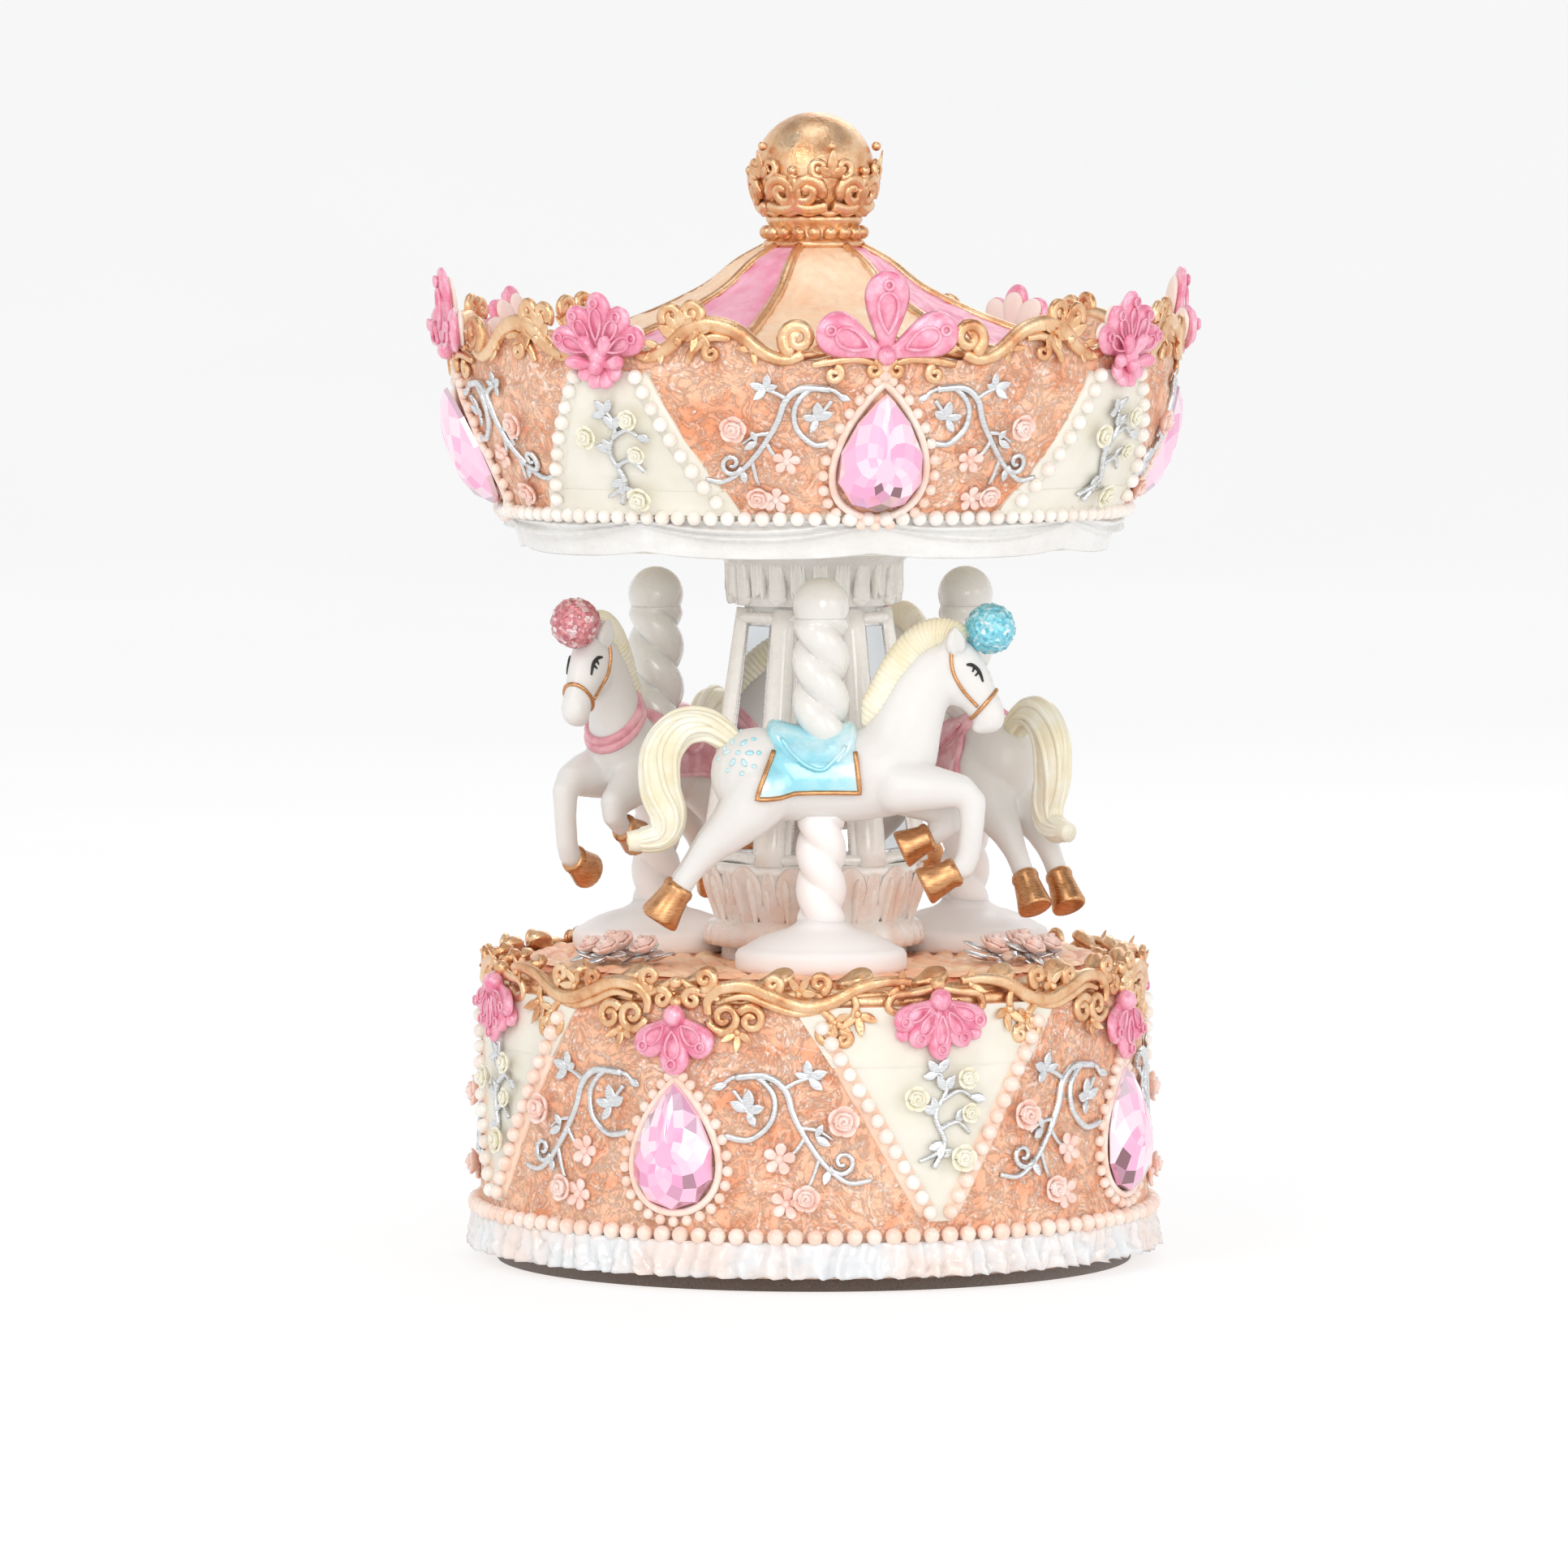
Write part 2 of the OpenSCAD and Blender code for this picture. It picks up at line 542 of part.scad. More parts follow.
module roof_ribs() color("#c8935a") for (i = [0:7])
    at(canopy_turn + 90 * floor(i / 2) + (i % 2 == 0 ? -28 : 28)) rotate([0, 0, -91.2])
        rotate_extrude(angle = 2.4) polygon(concat([for (p = roof_top) [p[0], p[1] + gap]],
            [for (i = [len(roof_top) - 1:-1:0]) [roof_top[i][0], roof_top[i][1] + 1]]));

module canopy_gold_border() color("#c8935a") {
    translate([0, 0, rim_z]) rotate_extrude() polygon([[rim_r - 2.1, 0], [rim_r + 0.6, 0], [rim_r + 1.6, 3.2],
        [rim_r - 0.6, 3.2]]);
    for (i = [0:15]) at(canopy_turn + 11.25 + i * 22.5, rim_r, rim_z + 1.5)
        cylinder(r = 1.3, h = 4, $fn = 24);
}

module canopy_cream_panels() color("#f4f1e6")
    for (i = [0:quarters - 1]) at(canopy_turn + 45 + 90 * i)
        wall_panel(canopy_wall, canopy_z + 8.6, rim_z - 1.5, 17, 5, 0.7);

gem_z = canopy_z + 16.8;
shell_lean = 4;
gem_lean = atan((canopy_r_at(gem_z + 7) - canopy_r_at(gem_z - 7)) / 14);

module canopy_gems() color("hotpink") for (i = [0:quarters - 1])
    at(canopy_turn + 90 * i, canopy_r_at(gem_z) + 0.6, gem_z) face_out(gem_lean) gem_body();

module canopy_gem_settings() color("#f9d3b8") for (i = [0:quarters - 1])
    at(canopy_turn + 90 * i, canopy_r_at(gem_z) + 0.6, gem_z) face_out(gem_lean) setting();

module canopy_pearls() color("#fdf3ea") {
    translate([0, 0, band_z]) rotate_extrude() translate([canopy_r_at(band_z) + 0.95, 0]) circle(0.9, $fn = 24);
    for (i = [0:quarters - 1]) rotate([0, 0, canopy_turn + 45 + 90 * i])
        for (s = [-1, 1]) string(canopy_wall, [s * 18.2, canopy_z + 10.4], [s * 6.6, rim_z - 3], pearl_r);
}

module canopy_pink_shells() color("#ee7fb6") {
    for (i = [0:quarters - 1]) at(canopy_turn + 90 * i, rim_r + 1.4, rim_z + 1.2)
        face_out(shell_lean) shell(3, 86, 8.4, 2.2);
    for (i = [0:quarters - 1]) at(canopy_turn + 45 + 90 * i, rim_r + 1.2, rim_z - 0.6)
        face_out(shell_lean) shell(5, 86, 5.6, 2.2);
}

module canopy_silver_sprays() color("silver") for (i = [0:quarters - 1])
    rotate([0, 0, canopy_turn + 90 * i]) for (s = [-1, 1]) spray(canopy_wall, canopy_z + 18, s);

module finial() color("#c8935a") {
    translate([0, 0, neck_z]) cylinder(r = 7.4, h = 4.4);
    translate([0, 0, neck_z + 2]) rotate_extrude() translate([7.1, 0]) circle(0.95, $fn = 24);
    intersection() {
        translate([0, 0, ball_z]) sphere(ball_r);
        translate([0, 0, neck_z + 4.4]) cylinder(r = 20, h = 20);
    }
}

// ---------- assembly ----------

felt_pad();
bottom_plate();
plate_screws();
base_drum();
base_gold_border();
base_cream_panels();
base_gems();
base_gem_settings();
base_pearl_band();
base_pearl_strings();
base_lace_ruffle();
base_pink_shells();
base_silver_sprays();
bedplate();
movement_screws();
cylinder_brackets();
comb();
comb_screws();
governor_frame();
turntable_bush();
music_cylinder();
cylinder_pinion();
cylinder_wheel();
cylinder_arbor();
second_wheel();
governor_worm();
governor_fly();
winding_arbor();
winding_key();
spring_barrel();
mainspring();
drive_shaft();
shaft_nut();
deck();
deck_flowers();
for (i = [1:horses]) {
    horse(i - 1);
    upper_pole(i - 1);
    pole_foot(i - 1);
}
column_foot();
column_core();
column_mirrors();
column_capital();
canopy_drum();
canopy_swag_skirt();
canopy_roof();
roof_ribs();
canopy_gold_border();
canopy_cream_panels();
canopy_gems();
canopy_gem_settings();
canopy_pearls();
canopy_pink_shells();
canopy_silver_sprays();
finial();
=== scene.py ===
import json
import random
from math import atan2, ceil, cos, degrees, dist, exp, pi, radians, sin, sqrt, tau
import bpy
from mathutils import Matrix, Vector, noise
from mathutils.bvhtree import BVHTree


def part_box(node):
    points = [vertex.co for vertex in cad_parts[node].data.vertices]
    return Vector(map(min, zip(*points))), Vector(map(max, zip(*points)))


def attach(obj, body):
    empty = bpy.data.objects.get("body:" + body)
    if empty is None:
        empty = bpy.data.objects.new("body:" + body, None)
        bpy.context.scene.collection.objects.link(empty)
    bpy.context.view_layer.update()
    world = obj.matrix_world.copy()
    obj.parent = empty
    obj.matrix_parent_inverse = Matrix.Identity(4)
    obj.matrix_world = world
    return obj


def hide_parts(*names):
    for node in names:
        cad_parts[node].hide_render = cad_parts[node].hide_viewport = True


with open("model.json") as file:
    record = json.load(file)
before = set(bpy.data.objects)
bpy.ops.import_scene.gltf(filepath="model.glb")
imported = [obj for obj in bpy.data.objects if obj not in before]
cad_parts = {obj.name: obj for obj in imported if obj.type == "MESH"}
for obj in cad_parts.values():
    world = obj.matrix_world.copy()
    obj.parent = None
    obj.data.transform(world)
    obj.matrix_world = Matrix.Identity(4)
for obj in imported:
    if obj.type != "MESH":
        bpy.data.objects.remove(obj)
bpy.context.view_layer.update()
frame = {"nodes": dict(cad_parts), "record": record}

# Shapes are drawn in millimetres and stored in metres. Angles (az) run from the front, -Y, towards +X.
MM = 0.001
UP = Vector((0, 0, 1))
SIDEWAYS = Vector((0, 1, 0))
SIDES = (-1, 1)


# -------- places taken from the frame

def top(node):
    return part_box(node)[1][2] / MM


def low(node):
    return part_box(node)[0][2] / MM


def reach(node):
    """Largest radius of a round node, from its box."""
    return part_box(node)[1][0] / MM


def middle(node):
    lo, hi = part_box(node)
    return Vector([(a + b) / 2 for a, b in zip(lo, hi)]) / MM


def turn_of(node):
    """Azimuth of a node's middle."""
    c = middle(node)
    return degrees(atan2(c.x, -c.y))


def quarters(turn):
    return [turn + 90 * q for q in range(4)]


BASE_TOP = top("base_drum")
BASE_FOOT_R = reach("base_drum")
BASE_TURNS = quarters(-24.0)
CANOPY_TURN = 10.7
CANOPY_TURNS = quarters(CANOPY_TURN)
DECK_Z = top("deck")
SKIRT_Z = low("canopy_swag_skirt")
SKIRT_R = reach("canopy_swag_skirt")
RIM_Z = top("canopy_drum")
RIM_R = reach("canopy_drum")
NECK_Z = low("finial")
BALL_R = 9.2
BALL_Z = top("finial") - BALL_R
POLE_RING = middle("pole_foot_1").xy.length
HORSE_TURNS = [turn_of(f"pole_foot_{i}") for i in (1, 2, 3)]
WALL_FOOT = low("canopy_drum") + 5.4


# -------- drawing helpers

def lerp(a, b, t):
    return a + (b - a) * t


def smooth(t):
    t = min(1.0, max(0.0, t))
    return t * t * (3 - 2 * t)


def ticks(n):
    """0 to 1 in n even steps."""
    return [i / n for i in range(n + 1)]


def around(n):
    """The angles of n places round a full turn."""
    return [tau * k / n for k in range(n)]


def turned(az):
    """Outward direction at an azimuth."""
    a = radians(az)
    return Vector((sin(a), -cos(a), 0.0))


def spot(az, r, z):
    return turned(az) * r + Vector((0, 0, z))


def spoke(normal, a):
    """The direction at angle a round a normal."""
    across = normal.orthogonal().normalized()
    return across * cos(a) + normal.cross(across) * sin(a)


def right_and_up(normal):
    across = UP.cross(normal).normalized()
    return across, normal.cross(across)


class Wall:
    """A round wall given by its radius at each height; drawings are laid on it in flat millimetres."""

    def __init__(self, points):
        self.points = points

    def radius(self, z):
        p = self.points
        if z <= p[0][1]:
            return p[0][0]
        for (r0, z0), (r1, z1) in zip(p, p[1:]):
            if z <= z1:
                return lerp(r0, r1, (z - z0) / (z1 - z0))
        return p[-1][0]

    def at(self, az, z, out=0.0):
        """(point, outward normal) at an azimuth and height, out millimetres off the wall."""
        slope = (self.radius(z + 1) - self.radius(z - 1)) / 2
        n = (turned(az) - Vector((0, 0, slope))).normalized()
        return spot(az, self.radius(z), z) + n * out, n

    def lay(self, az, u, z, out=0.0):
        """The same for a place u millimetres to the right of the azimuth."""
        return self.at(az + degrees(u / self.radius(z)), z, out)

    def path(self, az, points, out=0.0):
        return [self.lay(az, u, v, out) for u, v in points]


BASE_TOP_R = BASE_FOOT_R - 1.6
BASE_WALL = Wall([(BASE_FOOT_R, 2.0), (BASE_TOP_R, BASE_TOP), (BASE_TOP_R, BASE_TOP + 9)])
CANOPY_WALL = Wall([(47.0, WALL_FOOT), (47.9, WALL_FOOT + 2.5), (50.2, WALL_FOOT + 6.5),
                    (52.4, WALL_FOOT + 11.5),
                    (54.0, WALL_FOOT + 17.5), (RIM_R, RIM_Z), (RIM_R + 0.4, RIM_Z + 8),
                    (RIM_R + 0.4, RIM_Z + 16)])


class Shape:
    """A mesh under construction. Every face carries a material number."""

    def __init__(self):
        self.verts, self.faces, self.mats, self.flat = [], [], [], []

    def add(self, verts, faces, mat=0, flat=False):
        n = len(self.verts)
        self.verts.extend(verts)
        self.faces.extend(tuple(n + i for i in f) for f in faces)
        self.mats.extend([mat] * len(faces))
        self.flat.extend([flat] * len(faces))

    def grid(self, rows, mat=0, ring=False, caps=False, loop=False):
        """Quads between rows of points. ring closes each row, loop closes the rows, caps fills both ends."""
        n = len(rows[0])
        faces = []
        for i in range(len(rows) if loop else len(rows) - 1):
            k = (i + 1) % len(rows)
            for j in range(n if ring else n - 1):
                m = (j + 1) % n
                faces.append((i * n + j, i * n + m, k * n + m, k * n + j))
        if caps:
            faces.append(tuple(range(n))[::-1])
            faces.append(tuple((len(rows) - 1) * n + j for j in range(n)))
        self.add([p for row in rows for p in row], faces, mat)

    def ball(self, centre, r, mat=0, sides=12, scale=(1, 1, 1), axes=None):
        """A ball, or an ellipsoid along the three axes."""
        x, y, z = axes or (Vector((1, 0, 0)), SIDEWAYS, UP)
        rings = max(4, sides // 2)
        verts = [centre + z * r * scale[2]]
        for t in (pi * i / rings for i in range(1, rings)):
            verts += [centre + x * (r * scale[0] * sin(t) * cos(a)) + y * (r * scale[1] * sin(t) * sin(a))
                      + z * (r * scale[2] * cos(t)) for a in around(sides)]
        verts.append(centre - z * r * scale[2])
        end = len(verts) - 1
        faces = [(0, 1 + j, 1 + (j + 1) % sides) for j in range(sides)]
        for a in range(1, end - sides, sides):
            b = a + sides
            for j in range(sides):
                m = (j + 1) % sides
                faces.append((a + j, b + j, b + m, a + m))
        last = end - sides
        faces += [(last + j, end, last + (j + 1) % sides) for j in range(sides)]
        self.add(verts, faces, mat)

    def tube(self, path, radius, mat=0, sides=8, wide=1.0, closed=False):
        """A rod along [(point, outward normal)]. radius may be a function of 0 to 1; wide stretches it."""
        n = len(path)
        rows = []
        for i, (p, normal) in enumerate(path):
            before = path[(i - 1) % n if closed else max(i - 1, 0)][0]
            after = path[(i + 1) % n if closed else min(i + 1, n - 1)][0]
            along = (after - before).normalized()
            side = along.cross(normal).normalized()
            up = side.cross(along).normalized()
            r = max(radius(i / (n - 1)) if callable(radius) else radius, 0.02)
            rows.append([p + side * (r * wide * cos(a)) + up * (r * sin(a)) for a in around(sides)])
        self.grid(rows, mat, ring=True, caps=not closed, loop=closed)

    def petal(self, root, along, normal, length, width, thick, mat=0, curl=0.0, groove=0.0, tip=0.7, cup=0.0):
        """A closed pillow-shaped petal or leaf: tip 0.5 is pointed, higher is broad with a round end."""
        along = along.normalized()
        side = along.cross(normal).normalized()
        up = side.cross(along).normalized()
        steps, sides = 11, 12
        rows = []
        for i in range(steps + 1):
            s = sin(pi / 2 * i / steps)
            if tip <= 0.5:
                fat = sin(pi * s) ** 0.8 if s < 1 else 0.0
            elif s < tip:
                fat = 0.3 + 0.7 * smooth(s / tip)
            else:
                fat = sqrt(max(0.0, 1 - ((s - tip) / (1 - tip)) ** 2))
            half = width / 2 * fat + 0.02
            rise = thick * (0.3 + 0.7 * fat) + 0.01
            row = []
            for a in around(sides):
                c, d = cos(a), sin(a)
                dent = 1 - groove * exp(-(c * c) / 0.1) if d > 0 else 0.5
                row.append(root + along * (length * s) + side * (half * c)
                           + up * (curl * s * s + cup * c * c * half + rise * d * dent))
            rows.append(row)
        self.grid(rows, mat, ring=True, caps=True)

    def lathe(self, profile, centre=None, mat=0, sides=96, wave=None, z=0.0):
        """Turns (radius, height over z) points about the vertical; wave(angle, i) adds to the radius."""
        c = centre or Vector((0, 0, 0))
        rows = []
        for i, (r, h) in enumerate(profile):
            row = []
            for a in around(sides):
                q = r + (wave(a, i) if wave else 0.0)
                row.append(c + Vector((q * sin(a), -q * cos(a), z + h)))
            rows.append(row)
        self.grid(rows, mat, ring=True)

    def build(self, name, body, materials, slot, replaces=()):
        mesh = bpy.data.meshes.new(name)
        mesh.from_pydata([v * MM for v in self.verts], [], self.faces)
        for m in materials:
            mesh.materials.append(m)
        mesh.polygons.foreach_set("material_index", self.mats)
        mesh.polygons.foreach_set("use_smooth", [not f for f in self.flat])
        mesh.update()
        obj = bpy.data.objects.new(name, mesh)
        bpy.context.scene.collection.objects.link(obj)
        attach(obj, body)
        if replaces:
            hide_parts(*replaces)
        return obj


def spiral(u, v, r, turns, start, hand=1, steps=22):
    """Flat points of a volute that winds inwards from radius r round (u, v)."""
    out = []
    for t in (i / steps for i in range(steps + 1)):
        a = radians(start) + hand * tau * turns * t
        q = r * (1 - 0.82 * t)
        out.append((u + q * cos(a), v + q * sin(a)))
    return out


def curve(points, steps=8):
    """A smooth line through flat or solid points (Catmull-Rom)."""
    p = [points[0], *points, points[-1]]
    out = []
    for four in zip(p, p[1:], p[2:], p[3:]):
        for t in (k / steps for k in range(steps)):
            out.append(tuple(0.5 * (2 * b + (c - a) * t + (2 * a - 5 * b + 4 * c - d) * t * t
                                    + (3 * b - a - 3 * c + d) * t ** 3) for a, b, c, d in zip(*four)))
    out.append(tuple(points[-1]))
    return out


def flipped(points, side):
    """A flat drawing mirrored to the left when side is -1."""
    return [(side * u, v) for u, v in points]


def lifted(points, z):
    return [(u, z + v) for u, v in points]


# -------- materials

class Nodes:
    """A short way to write a Principled material."""

    def __init__(self, name, **values):
        self.mat = bpy.data.materials.new(name)
        self.mat.use_nodes = True
        self.tree = self.mat.node_tree
        self.bsdf = self.tree.nodes["Principled BSDF"]
        self.coord = self.tree.nodes.new("ShaderNodeTexCoord").outputs["Object"]
        self.put(self.bsdf, values)

    def link(self, a, b):
        self.tree.links.new(a, b)

    def put(self, node, values):
        for key, value in values.items():
            node.inputs[key.replace("_", " ")].default_value = value

    def node(self, kind, links=(), **inputs):
        """A node with these input values, and with the links' sources on its inputs."""
        n = self.tree.nodes.new("ShaderNode" + kind)
        self.put(n, inputs)
        for key, source in dict(links).items():
            self.link(source, n.inputs[key])
        return n

    def noise(self, scale, detail=4.0, rough=0.55, distort=0.0, out="Fac"):
        return self.node("TexNoise", {"Vector": self.coord}, Scale=scale, Detail=detail, Roughness=rough,
                         Distortion=distort).outputs[out]

    def cells(self, scale, out="Distance"):
        return self.node("TexVoronoi", {"Vector": self.coord}, Scale=scale).outputs[out]

    def crackle(self, scale, warp):
        """Distance from the edges of cells whose coordinates are bent by noise."""
        add = self.node("VectorMath", {0: self.noise(scale * 0.7, 3.0, 0.5, out="Color"), 2: self.coord})
        add.operation = "MULTIPLY_ADD"
        add.inputs[1].default_value = (warp, warp, warp)
        v = self.node("TexVoronoi", {"Vector": add.outputs[0]}, Scale=scale)
        v.feature = "DISTANCE_TO_EDGE"
        return v.outputs["Distance"]

    def ramp(self, fac, *stops):
        n = self.node("ValToRGB", {"Fac": fac})
        while len(n.color_ramp.elements) < len(stops):
            n.color_ramp.elements.new(0.5)
        for e, (pos, col) in zip(n.color_ramp.elements, stops):
            e.position = pos
            e.color = (*col, 1.0)
        return n.outputs["Color"]

    def mix(self, fac, a, b):
        n = self.node("Mix")
        n.data_type = "RGBA"
        for value, socket in ((fac, n.inputs["Factor"]), (a, n.inputs[6]), (b, n.inputs[7])):
            if isinstance(value, bpy.types.NodeSocket):
                self.link(value, socket)
            else:
                socket.default_value = (*value, 1.0)
        return n.outputs[2]

    def remap(self, fac, low_in, high_in, low_out=0.0, high_out=1.0):
        return self.node("MapRange", {"Value": fac}, From_Min=low_in, From_Max=high_in, To_Min=low_out,
                         To_Max=high_out).outputs["Result"]

    def times(self, a, b):
        n = self.node("Math", {0: a, 1: b})
        n.operation = "MULTIPLY"
        return n.outputs[0]

    def bump(self, height, distance, strength=1.0, under=None):
        links = {"Height": height, "Normal": under} if under else {"Height": height}
        return self.node("Bump", links, Distance=distance * MM, Strength=strength).outputs["Normal"]

    def finish(self, color, rough=None, normal=None):
        for source, key in ((color, "Base Color"), (rough, "Roughness"), (normal, "Normal")):
            if source:
                self.link(source, self.bsdf.inputs[key])
        return self.mat


def painted(name, light, dark, rough=0.4, scale=260.0, metal=0.0, coat=0.0, wax=0.0, grain=0.05, spread=0.14):
    """Brushed paint on cast resin: two tones, fine grain, uneven gloss."""
    m = Nodes(name, Metallic=metal, Coat_Weight=coat, Coat_Roughness=0.15, Subsurface_Weight=wax,
              Subsurface_Scale=0.0016, Subsurface_Radius=(1.0, 0.8, 0.7))
    color = m.ramp(m.noise(scale, 5.0, 0.6), (0.5 - spread, dark), (0.5 + spread, light))
    fine = m.noise(scale * 7, 3.0)
    return m.finish(color, m.remap(fine, 0.3, 0.7, rough - 0.08, rough + 0.1), m.bump(fine, grain))


def lace(name, body, deep, veil, cover):
    """Stained resin under a pale dry-brushed veil, with thin pale veins and a woven net."""
    m = Nodes(name, Subsurface_Weight=0.12, Subsurface_Scale=0.001, Coat_Weight=0.2, Coat_Roughness=0.3)
    stain = m.ramp(m.noise(150.0, 7.0, 0.65, 0.8), (0.34, deep), (0.56, body))
    patches = m.remap(m.noise(210.0, 10.0, 0.78, 2.2), cover, cover + 0.06)
    net = m.remap(m.cells(1300.0), 0.25, 0.5, 1.0, 0.1)
    color = m.mix(m.times(patches, net), stain, veil)
    line = m.remap(m.crackle(240.0, 0.012), 0.0, 0.035, 0.8, 0.0)
    broken = m.times(line, m.remap(m.noise(70.0, 2.0), 0.48, 0.56))
    color = m.mix(broken, color, veil)
    normal = m.bump(patches, 0.2, 0.7, m.bump(net, 0.12, 0.6))
    return m.finish(color, m.remap(m.noise(400.0), 0.3, 0.7, 0.4, 0.6), normal)


def gold_paint(name):
    m = Nodes(name, Metallic=0.9, Coat_Weight=0.15, Coat_Roughness=0.15)
    color = m.ramp(m.noise(200.0, 5.0, 0.62), (0.32, (0.62, 0.26, 0.12)), (0.46, (0.80, 0.47, 0.25)),
                   (0.64, (0.93, 0.66, 0.42)))
    fine = m.noise(1500.0, 4.0)
    return m.finish(color, m.remap(m.noise(420.0, 3.0), 0.3, 0.7, 0.22, 0.44), m.bump(fine, 0.1))


def bead(name, light, dark):
    m = Nodes(name, Coat_Weight=0.8, Coat_Roughness=0.08, Subsurface_Weight=0.15, Subsurface_Scale=0.0015,
              Sheen_Weight=0.2)
    color = m.ramp(m.noise(240.0, 3.0), (0.38, dark), (0.6, light))
    return m.finish(color, m.remap(m.noise(900.0), 0.3, 0.7, 0.22, 0.36), m.bump(m.noise(1600.0), 0.02))


def glitter(name, light, dark):
    m = Nodes(name, Metallic=0.25, Coat_Weight=0.5, Coat_Roughness=0.1)
    spots = m.cells(1500.0, "Color")
    color = m.ramp(spots, (0.2, dark), (0.62, light), (0.97, (0.97, 0.98, 1.0)))
    return m.finish(color, m.remap(spots, 0.2, 0.8, 0.15, 0.6), m.bump(m.cells(1300.0), 0.35))


def stone(name):
    """Foil-backed faceted acrylic: each facet's colour comes from a face attribute that holds painted light,
    a painted reflection for every facet, lighter towards the top of the stone.
    """
    m = Nodes(name, Metallic=0.4, Coat_Weight=1.0, Coat_Roughness=0.02, IOR=1.5)
    facet_light = m.node("Attribute")
    facet_light.attribute_name = "facet_light"
    # The ramp turns each facet's painted light into colour, from painted shade to painted highlight.
    shade = m.ramp(facet_light.outputs["Fac"], (0.0, (0.26, 0.12, 0.15)), (0.18, (0.62, 0.34, 0.46)),
                   (0.36, (0.94, 0.36, 0.62)), (0.6, (0.97, 0.56, 0.76)), (0.9, (0.98, 0.80, 0.89)))
    return m.finish(shade, m.remap(m.noise(500.0), 0.3, 0.7, 0.05, 0.12), m.bump(m.noise(700.0), 0.01))


def metal(name, light, dark, rough):
    m = Nodes(name, Metallic=1.0)
    stretched = m.node("Mapping", {"Vector": m.coord}, Scale=(1.0, 1.0, 9.0))
    lines = m.node("TexNoise", {"Vector": stretched.outputs[0]}, Scale=900.0, Detail=4.0).outputs["Fac"]
    color = m.ramp(lines, (0.3, dark), (0.7, light))
    return m.finish(color, m.remap(lines, 0.3, 0.7, rough - 0.07, rough + 0.08), m.bump(lines, 0.02))


def mirror_glass(name):
    m = Nodes(name, Metallic=1.0)
    color = m.ramp(m.noise(60.0, 2.0), (0.3, (0.60, 0.62, 0.62)), (0.7, (0.74, 0.76, 0.78)))
    return m.finish(color, m.remap(m.noise(1200.0, 2.0), 0.68, 0.74, 0.03, 0.3))


def felt(name):
    m = Nodes(name, Sheen_Weight=0.5, Sheen_Roughness=0.6)
    fibres = m.noise(2600.0, 6.0, 0.7, 1.5)
    color = m.ramp(fibres, (0.3, (0.035, 0.022, 0.015)), (0.7, (0.13, 0.085, 0.06)))
    return m.finish(color, m.remap(fibres, 0.2, 0.8, 0.85, 1.0), m.bump(fibres, 0.25))


PEACH = lace("peach_lace", (0.95, 0.55, 0.36), (0.84, 0.33, 0.16), (0.97, 0.77, 0.67), 0.49)
ROOF_PEACH = painted("roof_peach", (1.0, 0.80, 0.58), (1.0, 0.60, 0.38), 0.42, 170.0, wax=0.15, grain=0.12,
                     spread=0.2)
PEACH_PLAIN = painted("peach_resin", (0.94, 0.64, 0.48), (0.90, 0.50, 0.32), 0.45, 180.0, wax=0.1)
DECK_PEACH = painted("deck_peach", (1.0, 0.70, 0.46), (0.98, 0.50, 0.30), 0.4, 90.0, wax=0.1, grain=0.06)
DECK_GAP = painted("deck_grout", (0.92, 0.42, 0.24), (0.82, 0.32, 0.17), 0.55, 150.0, wax=0.05)
STRIP_PEACH = painted("strip_peach", (0.97, 0.76, 0.62), (0.94, 0.62, 0.45), 0.42, 160.0, wax=0.1)
GOLD = gold_paint("antique_gold")
CREAM = painted("cream_resin", (0.86, 0.82, 0.72), (0.80, 0.75, 0.64), 0.36, 90.0, coat=0.25, wax=0.15)
CREAM_FLOWER = painted("cream_flower", (0.94, 0.91, 0.78), (0.88, 0.82, 0.63), 0.45, 400.0, wax=0.15)
PEARL_PEACH = bead("peach_pearl", (0.97, 0.80, 0.70), (0.95, 0.65, 0.52))
PEARL_WHITE = bead("white_pearl", (0.95, 0.90, 0.84), (0.92, 0.80, 0.71))
WHITE_PEARLY = painted("white_pearly", (0.85, 0.84, 0.82), (0.78, 0.76, 0.73), 0.3, 140.0, coat=0.5, wax=0.05)
COLUMN_PEARL = painted("column_pearl", (1.0, 0.975, 0.93), (0.97, 0.94, 0.88), 0.26, 70.0, coat=0.7, wax=0.12,
                       grain=0.02)
POLE_PEARL = painted("pole_pearl", (0.82, 0.80, 0.76), (0.74, 0.72, 0.68), 0.24, 60.0, coat=0.8, wax=0.05,
                     grain=0.02)
RUFFLE_WHITE = painted("ruffle_white", (0.80, 0.81, 0.82), (0.86, 0.74, 0.68), 0.2, 75.0, coat=0.9, wax=0.05,
                       spread=0.08)
BLUSH_PEARLY = painted("blush_pearly", (0.90, 0.86, 0.81), (0.87, 0.65, 0.54), 0.3, 130.0, coat=0.6, wax=0.05)
PINK_PEARLY = painted("pink_pearly", (0.94, 0.48, 0.60), (0.82, 0.22, 0.35), 0.3, 420.0, metal=0.15, coat=0.6)
ROOF_PINK = painted("roof_pink", (0.92, 0.48, 0.60), (0.86, 0.30, 0.44), 0.5, 240.0, coat=0.15)
FLESH = painted("pale_flesh", (0.96, 0.84, 0.77), (0.93, 0.75, 0.66), 0.45, 150.0, wax=0.12)
SILVER = metal("silver_paint", (0.92, 0.93, 0.94), (0.60, 0.61, 0.62), 0.3)
ROSE = painted("rose_blush", (0.98, 0.80, 0.73), (0.94, 0.58, 0.48), 0.4, 420.0, wax=0.15, coat=0.2)
HORSE_WHITE = painted("horse_white", (0.79, 0.77, 0.745), (0.765, 0.735, 0.705), 0.38, 60.0, wax=0.2,
                      grain=0.02)
WAX_WHITE = painted("wax_white", (0.96, 0.92, 0.90), (0.95, 0.88, 0.85), 0.42, 50.0, wax=0.25, grain=0.02)
